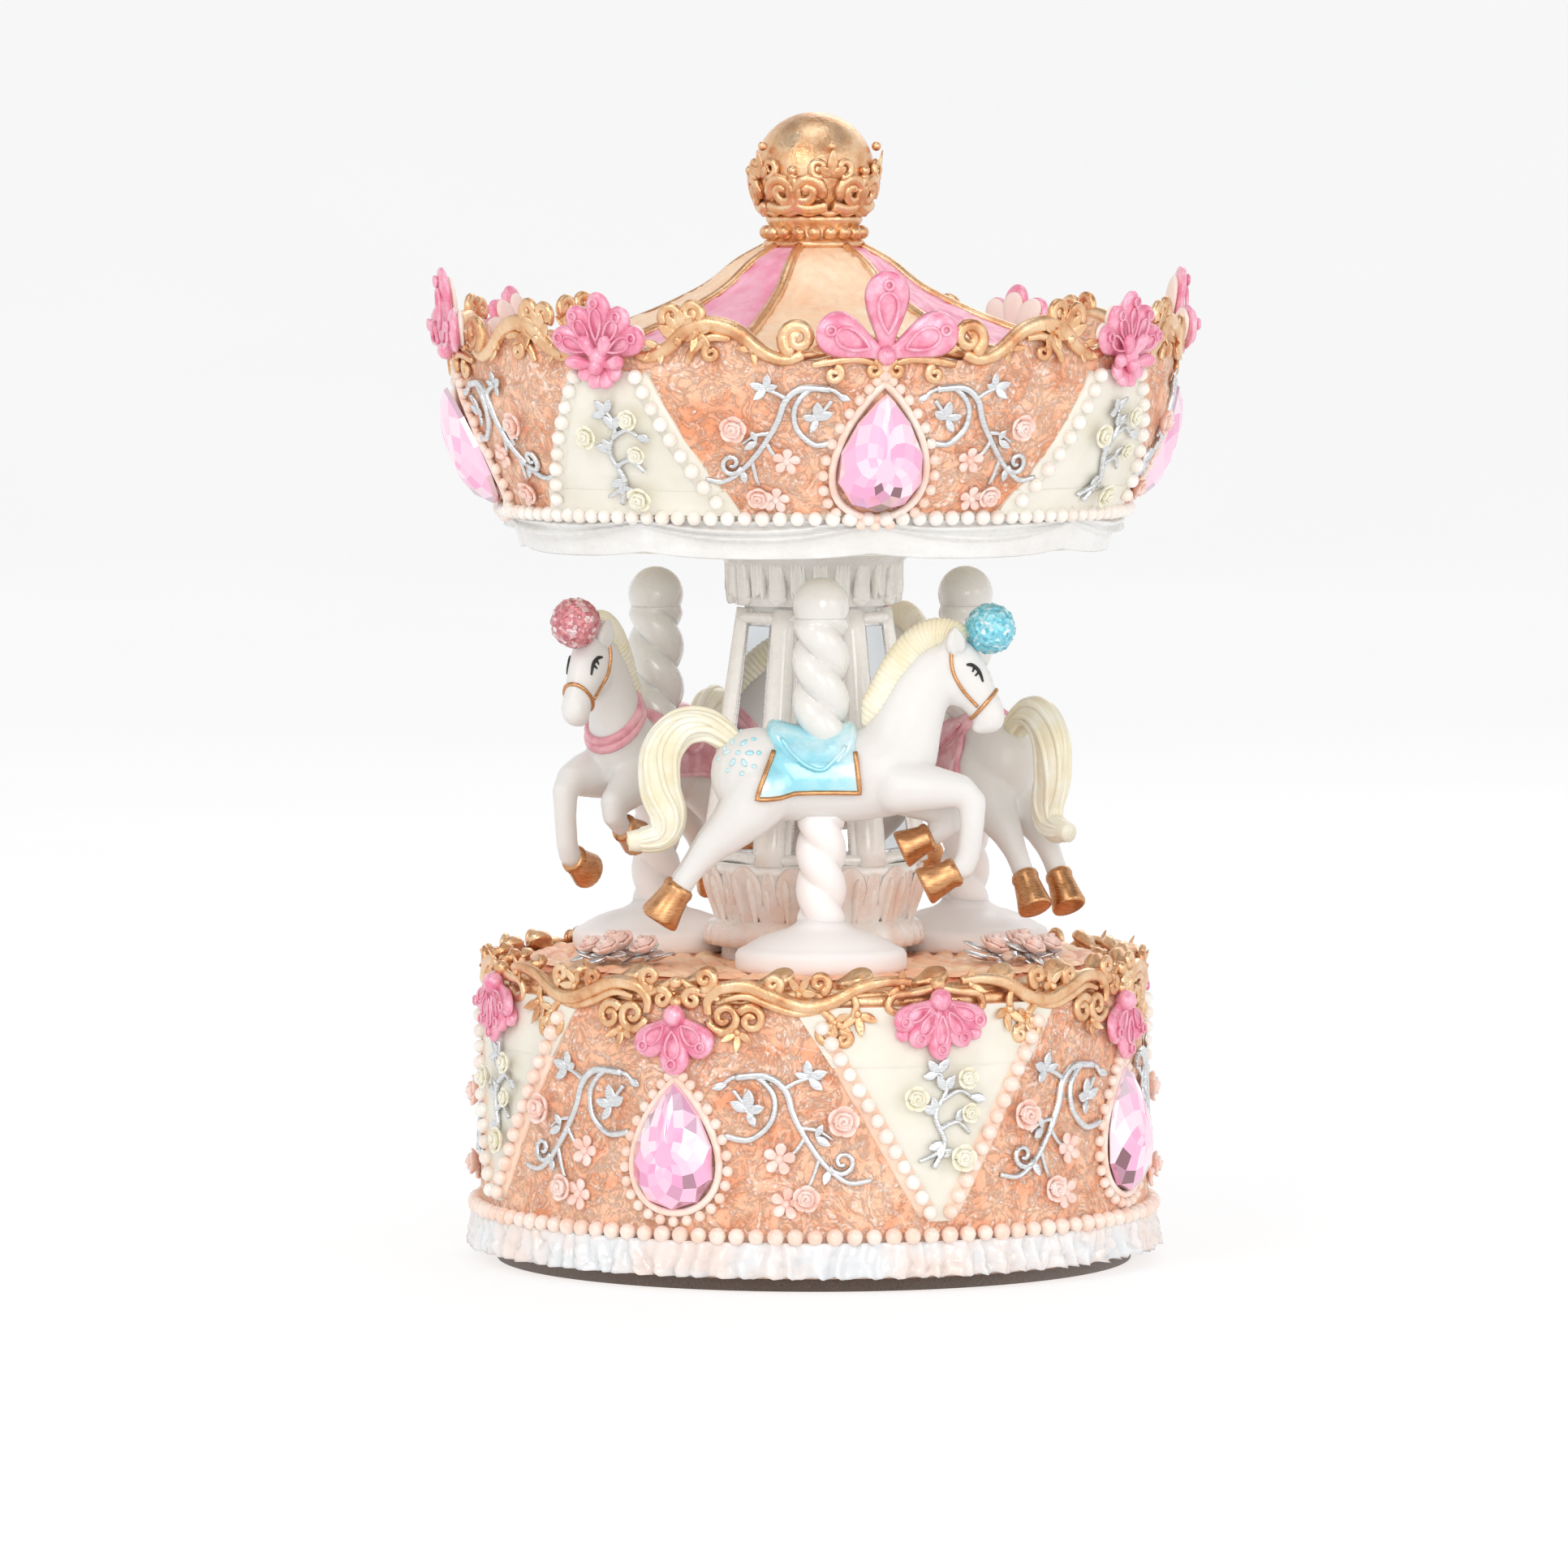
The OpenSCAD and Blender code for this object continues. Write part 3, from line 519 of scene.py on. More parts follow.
HAIR = painted("cream_hair", (0.93, 0.89, 0.76), (0.87, 0.78, 0.55), 0.36, 200.0, coat=0.3, wax=0.1)
HOOF = metal("hoof_gold", (0.78, 0.43, 0.22), (0.50, 0.23, 0.09), 0.32)
BLUE = painted("turquoise_pearl", (0.66, 0.86, 0.90), (0.32, 0.72, 0.83), 0.2, 130.0, metal=0.15, coat=0.9,
               spread=0.1)
RED = painted("rose_pearl", (0.88, 0.50, 0.54), (0.68, 0.25, 0.31), 0.32, 280.0, coat=0.4)
LASH = painted("lash_black", (0.03, 0.025, 0.025), (0.01, 0.01, 0.01), 0.4, 500.0)
BLUE_GLITTER = glitter("blue_glitter", (0.30, 0.74, 0.84), (0.14, 0.54, 0.70))
RED_GLITTER = glitter("rose_glitter", (0.76, 0.30, 0.32), (0.54, 0.15, 0.18))
STONE = stone("pink_stone")
MIRROR = mirror_glass("mirror_glass")
FELT = felt("brown_felt")
BOARD = painted("plate_board", (0.40, 0.33, 0.27), (0.30, 0.24, 0.19), 0.6, 220.0)
STEEL = metal("bright_steel", (0.72, 0.73, 0.75), (0.45, 0.46, 0.48), 0.28)
NICKEL = metal("nickel_plate", (0.80, 0.80, 0.80), (0.60, 0.60, 0.61), 0.3)
BRASS = metal("lacquered_brass", (0.90, 0.68, 0.32), (0.68, 0.46, 0.17), 0.25)

# -------- materials on the CAD nodes

BY_SLOT = {
    "felt": FELT, "plate_board": BOARD, "steel": STEEL, "nickel_plate": NICKEL, "brass": BRASS,
    "peach_resin": PEACH_PLAIN, "antique_gold": GOLD, "cream_resin": CREAM, "pink_gem": STONE,
    "pearl": PEARL_PEACH, "white_pearl_resin": WHITE_PEARLY, "pink_pearl_paint": PINK_PEARLY,
    "silver_paint": SILVER, "flower_paint": ROSE, "horse_white": HORSE_WHITE, "wax_white": WAX_WHITE,
    "mirror_glass": MIRROR,
}
BY_NODE = {"canopy_drum": CREAM, "deck": DECK_GAP}
for part in frame["record"]["subparts"]:
    for entry in frame["nodes"][part["node"]].material_slots:
        entry.material = BY_NODE.get(part["node"], BY_SLOT[part["material_slot"]])


# -------- flowers, leaves, vines

def rose(shape, centre, normal, size, mat, leaf=None):
    """A rolled rose: a coiled heart inside two rounds of cupped petals."""
    for count, lift, length, spin in ((5, 0.12, 1.0, 0.0), (4, 0.42, 0.72, 0.6)):
        for a in around(count):
            shape.petal(centre + normal * (size * lift * 0.6),
                        spoke(normal, a + spin) + normal * (0.25 + lift),
                        normal, size * length, size * 0.95, size * 0.16, mat, curl=size * 0.22, cup=0.25,
                        tip=0.62)
    coil = [(centre + spoke(normal, tau * 1.9 * t) * (size * lerp(0.06, 0.46, t))
             + normal * (size * lerp(0.92, 0.6, t)), normal) for t in ticks(18)]
    shape.tube(coil, size * 0.13, mat, sides=6)
    shape.ball(centre + normal * (size * 0.45), size * 0.42, mat, 10)
    if leaf is not None:
        for a in around(3):
            shape.petal(centre, spoke(normal, a + 0.4), normal, size * 1.55, size * 0.75, size * 0.18, leaf,
                        groove=0.5, tip=0.5)


def blossom(shape, centre, normal, size, mat):
    """A flat five-petalled flower."""
    for a in around(5):
        shape.petal(centre, spoke(normal, a), normal, size, size * 0.7, size * 0.22, mat, curl=size * 0.15,
                    groove=0.35, tip=0.66)
    shape.ball(centre + normal * (size * 0.15), size * 0.26, mat, 8)


def leaf_on(shape, wall, az, u, v, angle, length, width, out=0.5, curl=0.4):
    """A leaf on a wall, pointing at an angle from the right-hand direction."""
    p, n = wall.lay(az, u, v, out)
    q = wall.lay(az, u + cos(radians(angle)), v + sin(radians(angle)), out)[0]
    shape.petal(p, q - p, n, length, width, 0.35, 0, curl=curl, groove=0.55, tip=0.5)


def cream_field(shape, wall, az, z0, z1, half0, half1):
    """A curved cream field between two heights, with its half widths at foot and head."""
    face, under = ([[wall.lay(az, lerp(half0, half1, t) * k / 12, lerp(z0, z1, t), out)[0]
                     for k in range(-12, 13)] for t in ticks(8)] for out in (0.76, -0.14))
    shape.grid(face)
    for k in (0, -1):
        shape.grid([face[k], under[k]])
    for k in (0, -1):
        shape.grid([[row[k] for row in face], [row[k] for row in under]])


def vine_spray(shape, wall, az, side, z, scale):
    """Silver stems with leaves and curls, and blush flowers, on one side of a stone centred at z."""
    def place(points):
        return flipped([(u * scale, z + v * scale) for u, v in points], side)

    stems = [
        ([(8.0, 1.8), (11.8, 1.3), (15.0, 4.0), (15.4, 8.0), (12.6, 10.9), (9.0, 10.7), (7.2, 9.2)], 0.6),
        ([(9.5, 10.8), (14.4, 11.0), (17.2, 8.8), (18.4, 5.2), (20.6, 1.2), (23.6, -2.8), (27.0, -5.2),
          (30.4, -4.8)], 0.68),
        ([(16.8, 9.0), (18.6, 10.1), (20.6, 10.8)], 0.5),
        ([(19.4, 3.2), (22.2, 2.8), (24.4, 1.4)], 0.42),
        ([(9.2, 8.8), (10.6, 7.0), (11.4, 5.4)], 0.42),
        ([(20.2, 1.6), (18.6, -0.6), (17.2, -1.0)], 0.4),
        ([(22.4, -1.6), (21.6, -4.2), (20.8, -6.0)], 0.4),
    ]
    for stem, r in stems:
        shape.tube(wall.path(az, curve(place(stem), 6), 0.6), lambda t: r * (1 - 0.35 * t), sides=7)
    shape.tube(wall.path(az, place(spiral(26.0, -2.0, 2.1, 1.3, 200, 1, 16)), 0.7), lambda t: 0.5 - 0.12 * t,
               sides=6)
    twigs = ((11.4, 5.6, ((150, 3.0), (85, 3.4), (15, 2.8), (-60, 2.6))),
             (20.6, 10.8, ((95, 2.8), (20, 3.0), (-40, 2.8), (160, 2.2))),
             (21.8, 1.8, ((-30, 2.6), (60, 2.2))), (24.0, -3.2, ((-110, 2.4),)), (8.2, 9.8, ((200, 2.4),)))
    for u, v, leaves in twigs:
        for angle, size in leaves:
            leaf_on(shape, wall, az, side * u * scale, z + v * scale, angle if side > 0 else 180 - angle,
                    size * scale, size * 0.58 * scale, 0.7)
    for flower, out, u, v, size in ((rose, 0.4, 25.9, 4.2, 2.9), (rose, 0.4, 20.6, -7.6, 2.5),
                                    (blossom, 0.6, 16.4, -1.6, 2.5), (blossom, 0.6, 17.6, -8.4, 2.5)):
        p, n = wall.lay(az, side * u * scale, z + v * scale, out)
        flower(shape, p, n, size * scale, 1)


def cream_sprig(shape, wall, az, z, scale):
    """A silver sprig with small leaves and cream flowers."""
    for line in ([(-1.0, -7.0), (0.8, -3.4), (-0.6, 0.8), (1.2, 4.6), (0.0, 7.2)],
                 [(0.2, -1.2), (2.8, -0.2), (4.8, -2.0)],
                 [(0.4, 3.0), (3.2, 4.4), (5.0, 3.4)], [(0.0, -4.6), (-3.2, -6.0)]):
        path = wall.path(az, curve([(u * scale, z + v * scale) for u, v in line], 6), 1.2)
        shape.tube(path, lambda t: 0.52 - 0.2 * t, sides=6)
    for u, v, angle in ((-0.4, 1.0, 150), (-0.4, 1.0, 105), (1.0, 4.4, 120), (1.0, 4.4, 60), (0.6, -3.2, 200),
                        (0.0, 7.0, 60), (0.0, 7.0, 130), (0.6, -3.2, 250), (4.8, 3.4, -10), (-0.2, -5.0, 10),
                        (2.6, -0.4, 60), (0.0, 7.0, 190)):
        leaf_on(shape, wall, az, u * scale, z + v * scale, angle, 2.7 * scale, 1.6 * scale, 1.3)
    for u, v, size in ((-3.8, 3.4, 2.3), (4.6, 1.0, 1.8), (3.2, -5.6, 2.5), (4.2, 6.2, 2.0)):
        p, n = wall.lay(az, u * scale, z + v * scale, 1.1)
        rose(shape, p, n, size * scale, 2)


def vines(name, body, wall, turns, z, scale, sprig_z, sprig_scale, replaced):
    """A silver spray on each side of every stone, and a sprig on every cream field."""
    shape = Shape()
    for az in turns:
        for side in SIDES:
            vine_spray(shape, wall, az, side, z, scale)
        cream_sprig(shape, wall, az + 45, sprig_z, sprig_scale)
    shape.build(name, body, [SILVER, ROSE, CREAM_FLOWER], "silver_paint", [replaced])


# -------- pearls, stones, shells, scrolls

def pearl_row(shape, wall, az, a, b, pitch, r, mat, strip):
    """Pearls along a straight flat line from a to b, on a raised strip."""
    def line(t):
        return lerp(a[0], b[0], t), lerp(a[1], b[1], t)

    for i, t in enumerate(ticks(max(1, round(dist(a, b) / pitch)))):
        shape.ball(wall.lay(az, *line(t), 1.2)[0], r * (0.94 + 0.1 * ((i * 7) % 3) / 2), mat)
    shape.tube(wall.path(az, [line(t) for t in ticks(16)], 0.15), 0.75, strip, sides=10, wide=2.4)


def pearl_band(shape, wall, z, pitch, r, out):
    count = round(tau * (wall.radius(z) + out) / pitch)
    for i in range(count):
        shape.ball(wall.at(360 * i / count, z, out)[0], r * (0.96 + 0.07 * ((i * 5) % 3) / 2))


STONE_W, STONE_L = 13.0, 19.0
PEAR_WIDEST = 0.795  # the widest value of the pear curve, which brings its width to w


def pear_point(t, w, l, grow=0.0):
    """Point t (0 to 1) of a pear outline that starts and ends at its tip on top."""
    a = tau * t
    pinch = (1 - cos(a)) / 2
    return (w / 2 + grow) * sin(a) * pinch ** 0.42 / PEAR_WIDEST, (l / 2 + grow) * cos(a)


def stones(name, body, wall, turns, z, seed, replaced):
    """Four pear stones in a chequer cut: rows of lozenge facets that shrink towards a small table."""
    shape = Shape()
    facet_lights = []
    rnd = random.Random(seed)
    # Each row's scale, its height, and 1 where it's shifted by half a facet.
    cuts = ((1.0, 0.0, 0), (0.985, 0.75, 0), (0.86, 1.9, 1), (0.70, 2.75, 0), (0.53, 3.3, 1), (0.37, 3.65, 0),
            (0.22, 3.85, 1))
    count = 12
    last = len(cuts) - 1

    def at(row, i):
        return row * count + i % count

    for az in turns:
        origin, n = wall.at(az, z, 0.9)
        across, upward = right_and_up(n)
        verts = []
        for shrink, height, half in cuts:
            for i in range(count):
                x, y = pear_point((i + half / 2) / count, STONE_W * shrink, STONE_L * shrink)
                verts.append(origin + across * x + upward * (y - (1 - shrink) * 1.3) + n * height)
        faces = [tuple(range(count)), tuple(at(last, i) for i in range(count))]
        for i in range(count):
            faces += [(at(0, i), at(0, i + 1), at(1, i + 1), at(1, i)), (at(1, i), at(1, i + 1), at(2, i)),
                      (at(last, i), at(last - 1, i + 1), at(last, i + 1))]
            for row in range(2, last):
                back = i - cuts[row][2]
                faces.append((at(row - 1, i), at(row, back + 1), at(row + 1, i), at(row, back)))
        shape.add(verts, faces, flat=True)
        # Each facet gets a painted brightness: painted reflections that differ from facet to facet, lighter
        # on upper facets, with some lower facets in painted shade.
        for f in faces:
            c = sum((verts[i] for i in f), Vector()) / len(f)
            rise = (c - origin).dot(upward) / STONE_L + 0.5
            facet_light = 0.62 + 0.2 * rise + rnd.uniform(-0.3, 0.24)
            if rise < 0.3 and rnd.random() < 0.4:
                facet_light -= 0.5
            facet_lights.append(min(1.0, max(0.0, facet_light)))
    obj = shape.build(name, body, [STONE], "pink_gem", [replaced])
    obj.data.attributes.new("facet_light", "FLOAT", "FACE").data.foreach_set("value", facet_lights)


def settings(name, body, wall, turns, z, beads, bead_r, replaced):
    """A smooth lip and a ring of small pearls round every stone, and beads over its tip."""
    shape = Shape()
    for az in turns:
        lip, ring = ([wall.lay(az, x, z + y, 0.75) for x, y in
                      (pear_point(i / count, STONE_W, STONE_L, grow) for i in range(count))]
                     for grow, count in ((0.45, 56), (1.75, 30)))
        shape.tube(lip, 0.62, closed=True)
        for p, _ in ring:
            shape.ball(p, 0.86, 0, 10)
        for rise in beads:
            shape.ball(wall.at(az, z + rise, 0.9)[0], bead_r)
    shape.build(name, body, [PEARL_PEACH], "pearl", [replaced])


def fan(shape, wall, az, z, petals, spread, length, width, down=False, out=0.8, lean=0.0, knob=1.3, rim=True):
    """Petals that open from one point on a wall, each with an incised drop and a small ring near its end."""
    p, n = wall.at(az, z, out)
    across, upward = right_and_up(n)
    upward *= -1 if down else 1
    for t in ticks(petals - 1):
        a = radians(lerp(-spread, spread, t))
        d = (upward * cos(a) + across * sin(a) + n * lean).normalized()
        long = length * (1.0 if abs(a) < 0.1 else 0.9)
        shape.petal(p + d * 0.4, d, n, long, width, 1.15, curl=0.7)
        if rim:
            side = d.cross(n).normalized()
            centre, end = p + d * (long * 0.52) + n * 1.62, p + d * (long * 0.86) + n * 1.86
            drop = [(centre - d * y + side * x, n) for x, y in
                    (pear_point(k / 18, width * 0.45, long * 0.5) for k in range(18))]
            ring = [(end + side * (0.7 * cos(b)) + d * (0.7 * sin(b)), n) for b in around(10)]
            for line in (drop, ring):
                shape.tube(line, 0.045 * width, sides=6, closed=True)
    shape.ball(p + n * 0.9, knob)


def scroll_tube(shape, wall, az, points, radius, out, wide=1.25):
    shape.tube(wall.path(az, points, out), radius, sides=9, wide=wide)


def acanthus(shape, wall, az, u, v, angle, size, count, out):
    """A cluster of curled leaves that opens round an angle."""
    for i in range(count):
        a = angle + lerp(-58, 58, i / (count - 1))
        leaf_on(shape, wall, az, u, v, a, size * (1.15 - 0.12 * abs(i - (count - 1) / 2)), size * 0.5, out,
                0.9)
    shape.ball(wall.lay(az, u, v, out + 0.3)[0], size * 0.22, 0, 10)


def scrollwork(shape, wall, az, z, strands, curls, clusters, waist, fall, steps, outs, wide=1.25):
    """Strands, curls and leaf clusters on both sides of az, in millimetres from the edge at z. waist is the
    share of a strand's thickness at its ends, and fall the share that a curl loses towards its middle."""
    for side in SIDES:
        for points, r in strands:
            scroll_tube(shape, wall, az, flipped(curve(lifted(points, z), 7), side),
                        lambda t: r * (waist + (1 - waist) * sin(pi * t)), outs[0], wide)
        for u, v, r, start, hand, turns, thick in curls:
            scroll_tube(shape, wall, az, flipped(spiral(u, z + v, r, turns, start, hand, steps), side),
                        lambda t: thick * (1 - fall * t), outs[1])
        for u, v, angle, size, leaves in clusters:
            acanthus(shape, wall, az, side * u, z + v, angle if side > 0 else 180 - angle, size, leaves,
                     outs[2])


def base_border():
    """Thin gold scrolls on the base's upper edge, with a leafy crest round the deck."""
    shape = Shape()
    z = BASE_TOP
    crest = z + 2.7
    for i in range(52):
        hand = 1 if i % 2 else -1
        p, n = BASE_WALL.at(360 * i / 52, crest + 0.3 * hand, -1.9)
        across, _ = right_and_up(n)
        shape.petal(p - across * 2.6, across + UP * (0.22 * hand), UP + n * 0.6, 5.6, 4.2, 1.7, curl=0.4,
                    groove=0.45, tip=0.62)
    shape.lathe([(45.8, -0.6), (49.3, -0.6), (49.6, 1.0), (48.4, 2.4), (46.8, 2.2), (45.8, 0.6)], sides=144,
                z=z)
    ring = [(BASE_WALL.at(3 * i, crest - 1.2, -1.6 + 0.25 * sin(i * 0.9))[0], turned(3 * i))
            for i in range(120)]
    shape.tube(ring, 1.15, sides=10, closed=True)
    strands = [
        ([(4.9, -1.4), (4.9, 0.8), (6.8, 2.6), (10.9, 3.0), (15.0, 1.5), (19.2, 0.1), (23.3, 0.8),
          (27.4, 3.0), (31.6, 3.8), (35.0, 3.6)], 0.92),
        ([(7.4, 0.9), (10.6, 1.5), (14.2, 0.2), (18.0, -0.9), (21.4, -0.6)], 0.55),
        ([(0.6, 3.8), (2.4, 2.6), (4.6, 1.6), (6.6, 1.0)], 0.5),
        ([(21.6, -0.4), (23.2, -1.8), (23.6, -3.4)], 0.55),
        ([(26.2, 2.0), (26.8, 0.2), (26.2, -1.6)], 0.5),
    ]
    thick = 0.62
    curls = [(*row, thick) for row in (
        (7.4, -1.7, 2.5, 190, 1, 1.4), (11.4, -2.0, 2.1, 150, -1, 1.35), (4.4, 4.0, 1.7, -110, 1, 1.25),
        (2.4, 0.9, 1.5, 60, 1, 1.2), (21.4, 3.6, 1.5, -80, 1, 1.2), (22.6, -4.2, 1.5, 60, 1, 1.25),
        (25.0, -4.8, 1.2, 120, -1, 1.2), (14.6, 3.4, 1.3, -60, 1, 1.2))]
    clusters = ((9.4, -3.8, -90, 2.6, 3), (23.6, -2.2, -30, 2.4, 3), (27.0, -1.0, -80, 3.0, 3),
                (18.4, 2.0, 60, 2.6, 3), (33.6, 3.0, 150, 2.4, 2))
    loop = curve(lifted([(0.4, 2.6), (3.6, 2.0), (6.6, 1.6), (7.4, -0.2), (5.6, -0.9), (3.2, 0.4)], z), 7)
    for az in BASE_TURNS:
        scrollwork(shape, BASE_WALL, az, z, strands, curls, clusters, 0.6, 0.2 / thick, 22, (0.75, 0.8, 0.7))
        for side in SIDES:
            scroll_tube(shape, BASE_WALL, az + 45, flipped(loop, side), lambda t: 0.6 - 0.15 * t, 0.8)
        for shift, rise, r in ((0, 3.4, 1.0), (0, 0.4, 0.95), (45, 3.2, 1.2)):
            shape.ball(BASE_WALL.at(az + shift, z + rise, 1.1)[0], r)
    shape.build("base_scrolls", "base", [GOLD], "antique_gold", ["base_gold_border"])


def canopy_border():
    """Gold ribbon round the canopy's rim: waves, volutes and leaf clusters between the pink shells."""
    shape = Shape()
    strands = [
        ([(12.0, 1.2), (14.7, 0.4), (17.9, 1.6), (21.8, 4.6), (25.8, 5.6), (29.0, 4.8), (32.1, 2.2),
          (35.3, 0.8), (37.8, 1.6)], 1.0),
        ([(1.2, -0.2), (4.4, 0.6), (7.8, 0.2), (10.6, -0.4)], 0.6),
        ([(22.6, 3.4), (25.6, 3.6), (28.2, 1.8), (29.2, -0.2)], 0.6),
    ]
    curls = ((12.7, 3.6, 2.5, -70, 1, 1.5, 0.85), (1.7, -1.0, 1.3, 90, 1, 1.2, 0.55),
             (7.5, -1.7, 1.3, 100, 1, 1.2, 0.55), (28.6, 7.2, 1.7, 230, -1, 1.3, 0.7),
             (31.6, 6.8, 1.6, -50, 1, 1.3, 0.7), (25.4, 1.4, 1.2, 60, -1, 1.2, 0.5))
    clusters = ((8.3, 1.6, 70, 2.8, 4), (30.4, 3.2, 95, 4.0, 5), (27.8, 4.4, -140, 2.8, 3),
                (33.4, 2.2, -40, 2.6, 3), (19.4, 1.8, -50, 2.2, 2))
    for az in CANOPY_TURNS:
        scrollwork(shape, CANOPY_WALL, az, RIM_Z, strands, curls, clusters, 0.62, 0.32, 24, (0.85, 0.95, 0.9),
                   1.3)
    for i in range(8):
        az = CANOPY_TURN + 45 * i
        swell = 1 if i % 2 == 0 else 0.4
        band = [(CANOPY_WALL.at(az + u, RIM_Z + 0.6 + 2.6 * exp(-(u / 9) ** 2) * swell, -1.2)[0], turned(az))
                for u in (1.5 * k - 22.5 for k in range(31))]
        shape.tube(band, 0.8)
    shape.build("canopy_scrolls", "carousel", [GOLD], "antique_gold", ["canopy_gold_border"])


# -------- base

def relief_skin(name, body, wall, z0, z1):
    """The wall's textured face: ridged veins and lace folds as real relief, up to z1 at each azimuth."""
    shape = Shape()
    columns, rows, depth = 480, 46, 0.5
    grid = []
    for i in range(rows + 1):
        row = []
        for az in (360 * j / columns for j in range(columns)):
            p, n = wall.at(az, lerp(z0, z1(az), i / rows), 0.12)
            q = p * 0.16
            vein = 1 - abs(noise.noise(q + Vector((noise.noise(q * 1.7), 0, noise.noise(q * 1.3))))) * 3.2
            fold = noise.noise(p * 0.42) * 0.35
            edge = smooth(min(i, rows - i) / 2)
            row.append(p + n * (depth * edge * max(0.0, max(vein, 0.0) ** 3 * 0.7 + fold * 0.5 + 0.15)))
        grid.append(row)
    shape.grid(grid, ring=True)
    head, foot = ([p - Vector((p.x, p.y, 0)).normalized() * deep for p in grid[k]]
                  for k, deep in ((-1, 1.5), (0, 0.4)))
    shape.grid([grid[-1], head, foot, grid[0]], ring=True)
    shape.build(name, body, [PEACH], "peach_resin")


def make_base():
    relief_skin("base_lace_wall", "base", BASE_WALL, 8.2, lambda az: BASE_TOP - 0.2)
    base_border()

    stone_z = middle("base_gems").z
    stones("base_stones", "base", BASE_WALL, BASE_TURNS, stone_z, 7, "base_gems")
    settings("base_stone_settings", "base", BASE_WALL, BASE_TURNS, stone_z, (11.6,), 1.0, "base_gem_settings")

    band = Shape()
    pearl_band(band, BASE_WALL, middle("base_pearl_band").z, 2.94, 1.3, 0.9)
    band.build("base_pearls", "base", [PEARL_PEACH], "pearl", ["base_pearl_band"])

    strings, fields, shells = Shape(), Shape(), Shape()
    for az in BASE_TURNS:
        cream_field(fields, BASE_WALL, az + 45, BASE_TOP - 9, BASE_TOP - 0.1, 15.8, 21.4)
        fan(shells, BASE_WALL, az, BASE_TOP - 1.6, 3, 46, 8.4, 5.0, down=True, out=0.9, knob=1.7)
        fan(shells, BASE_WALL, az + 45, BASE_TOP + 1.0, 5, 62, 8.6, 3.9, down=True, out=1.5, knob=1.7)
        for side in SIDES:
            pearl_row(strings, BASE_WALL, az + 45, (side * 1.6, 11.8), (side * 17.2, 39.4), 2.6, 1.17,
                      max(side, 0), 2)
            fan(shells, BASE_WALL, az + 45 + side * 4.4, BASE_TOP - 1.6, 2, 34, 4.2, 2.4, down=True, out=1.0,
                knob=1.0, rim=False)
    fields.build("base_cream_fields", "base", [CREAM], "cream_resin")
    strings.build("base_pearl_rows", "base", [PEARL_WHITE, PEARL_PEACH, STRIP_PEACH], "pearl",
                  ["base_pearl_strings"])
    shells.build("base_shells", "base", [PINK_PEARLY], "pink_pearl_paint", ["base_pink_shells"])

    vines("base_vines", "base", BASE_WALL, BASE_TURNS, stone_z, 0.97, 25.4, 1.0, "base_silver_sprays")
    make_ruffle()


def make_ruffle():
    """Crimped white lace round the foot: uneven pleats that open downwards, closed behind."""
    shape = Shape()
    foot, head = low("base_lace_ruffle"), top("base_lace_ruffle")
    inner = BASE_FOOT_R + 0.05
    columns, pleats = 1080, 92
    grid = []
    for t in ticks(9):
        z = lerp(head + 0.3, foot + 0.1, t)
        row = []
        for a in around(columns):
            sway = noise.noise(Vector((cos(a) * 9, sin(a) * 9, t * 0.8))) * 2.4
            pleat = sin(a * pleats + sway * 2.2)
            small = sin(a * 190 + t * 3) * 0.14 + noise.noise(Vector((cos(a) * 30, sin(a) * 34, t * 5))) * 0.8
            r = inner + 0.85 + 0.5 * t + (0.3 + 0.45 * t) * pleat + small * (0.5 + 0.6 * t)
            drop = 0.4 * t * sin(a * pleats + 1.2 + sway * 2)
            row.append(Vector((r * sin(a), -r * cos(a), max(z + drop, foot))))
        grid.append(row)
    for z in (foot + 0.05, head + 0.3):
        grid.append([Vector((inner * sin(a), -inner * cos(a), z)) for a in around(columns)])
    shape.grid(grid, ring=True, loop=True)
    shape.build("base_ruffle", "base", [RUFFLE_WHITE], "white_pearl_resin", ["base_lace_ruffle"])


# -------- deck

COBBLE_RINGS, COBBLE_START_R, COBBLE_PITCH, COBBLE_DEEP, COBBLE_LONG = 9, 15.4, 3.15, 2.7, 4.6
FLOWERS_R = 34


def make_deck():
    """Rings of rounded cobbles, and three flower clusters between the horses."""
    cobbles = Shape()
    rnd = random.Random(3)
    rounded = (0, 0.18, 0.5, 0.82, 1)
    for ring in range(COBBLE_RINGS):
        r0 = COBBLE_START_R + ring * COBBLE_PITCH
        count = round(tau * (r0 + 1.5) / COBBLE_LONG)
        spin, share = rnd.uniform(0, 360), 360 / count
        for i in range(count):
            lift = rnd.uniform(0.45, 0.8)
            cobbles.grid([[spot(spin + share * (i + (t - 0.5) * 0.88), r0 + 0.22 + s * COBBLE_DEEP,
                                DECK_Z - 0.02 + lift * (sin(pi * s) * sin(pi * t)) ** 0.5) for t in rounded]
                          for s in rounded])
    cobbles.build("deck_cobbles", "carousel", [DECK_PEACH], "peach_resin")

    flowers = Shape()
    for az in (HORSE_TURNS[0] + 60 + 120 * i for i in range(3)):
        centre = spot(az, FLOWERS_R, DECK_Z + 0.9)
        out = turned(az)
        across = UP.cross(out)
        for u, v, size in ((-4.6, -1.4, 2.9), (0.4, 0.6, 3.3), (5.0, -1.2, 2.8), (-2.2, 4.0, 2.5),
                           (3.0, 4.2, 2.6)):
            rose(flowers, centre + across * u + out * v + UP * 1.2, UP + out * 0.5, size, 1, leaf=0)
        for a in around(9):
            d = across * cos(a + 0.3) * 1.3 + out * sin(a + 0.3)
            flowers.petal(centre + d * 3.2, d + UP * 0.1, UP, 4.4, 2.4, 0.5, curl=0.7, groove=0.5, tip=0.5)
    flowers.build("deck_roses", "carousel", [SILVER, ROSE], "flower_paint", ["deck_flowers"])


# -------- column

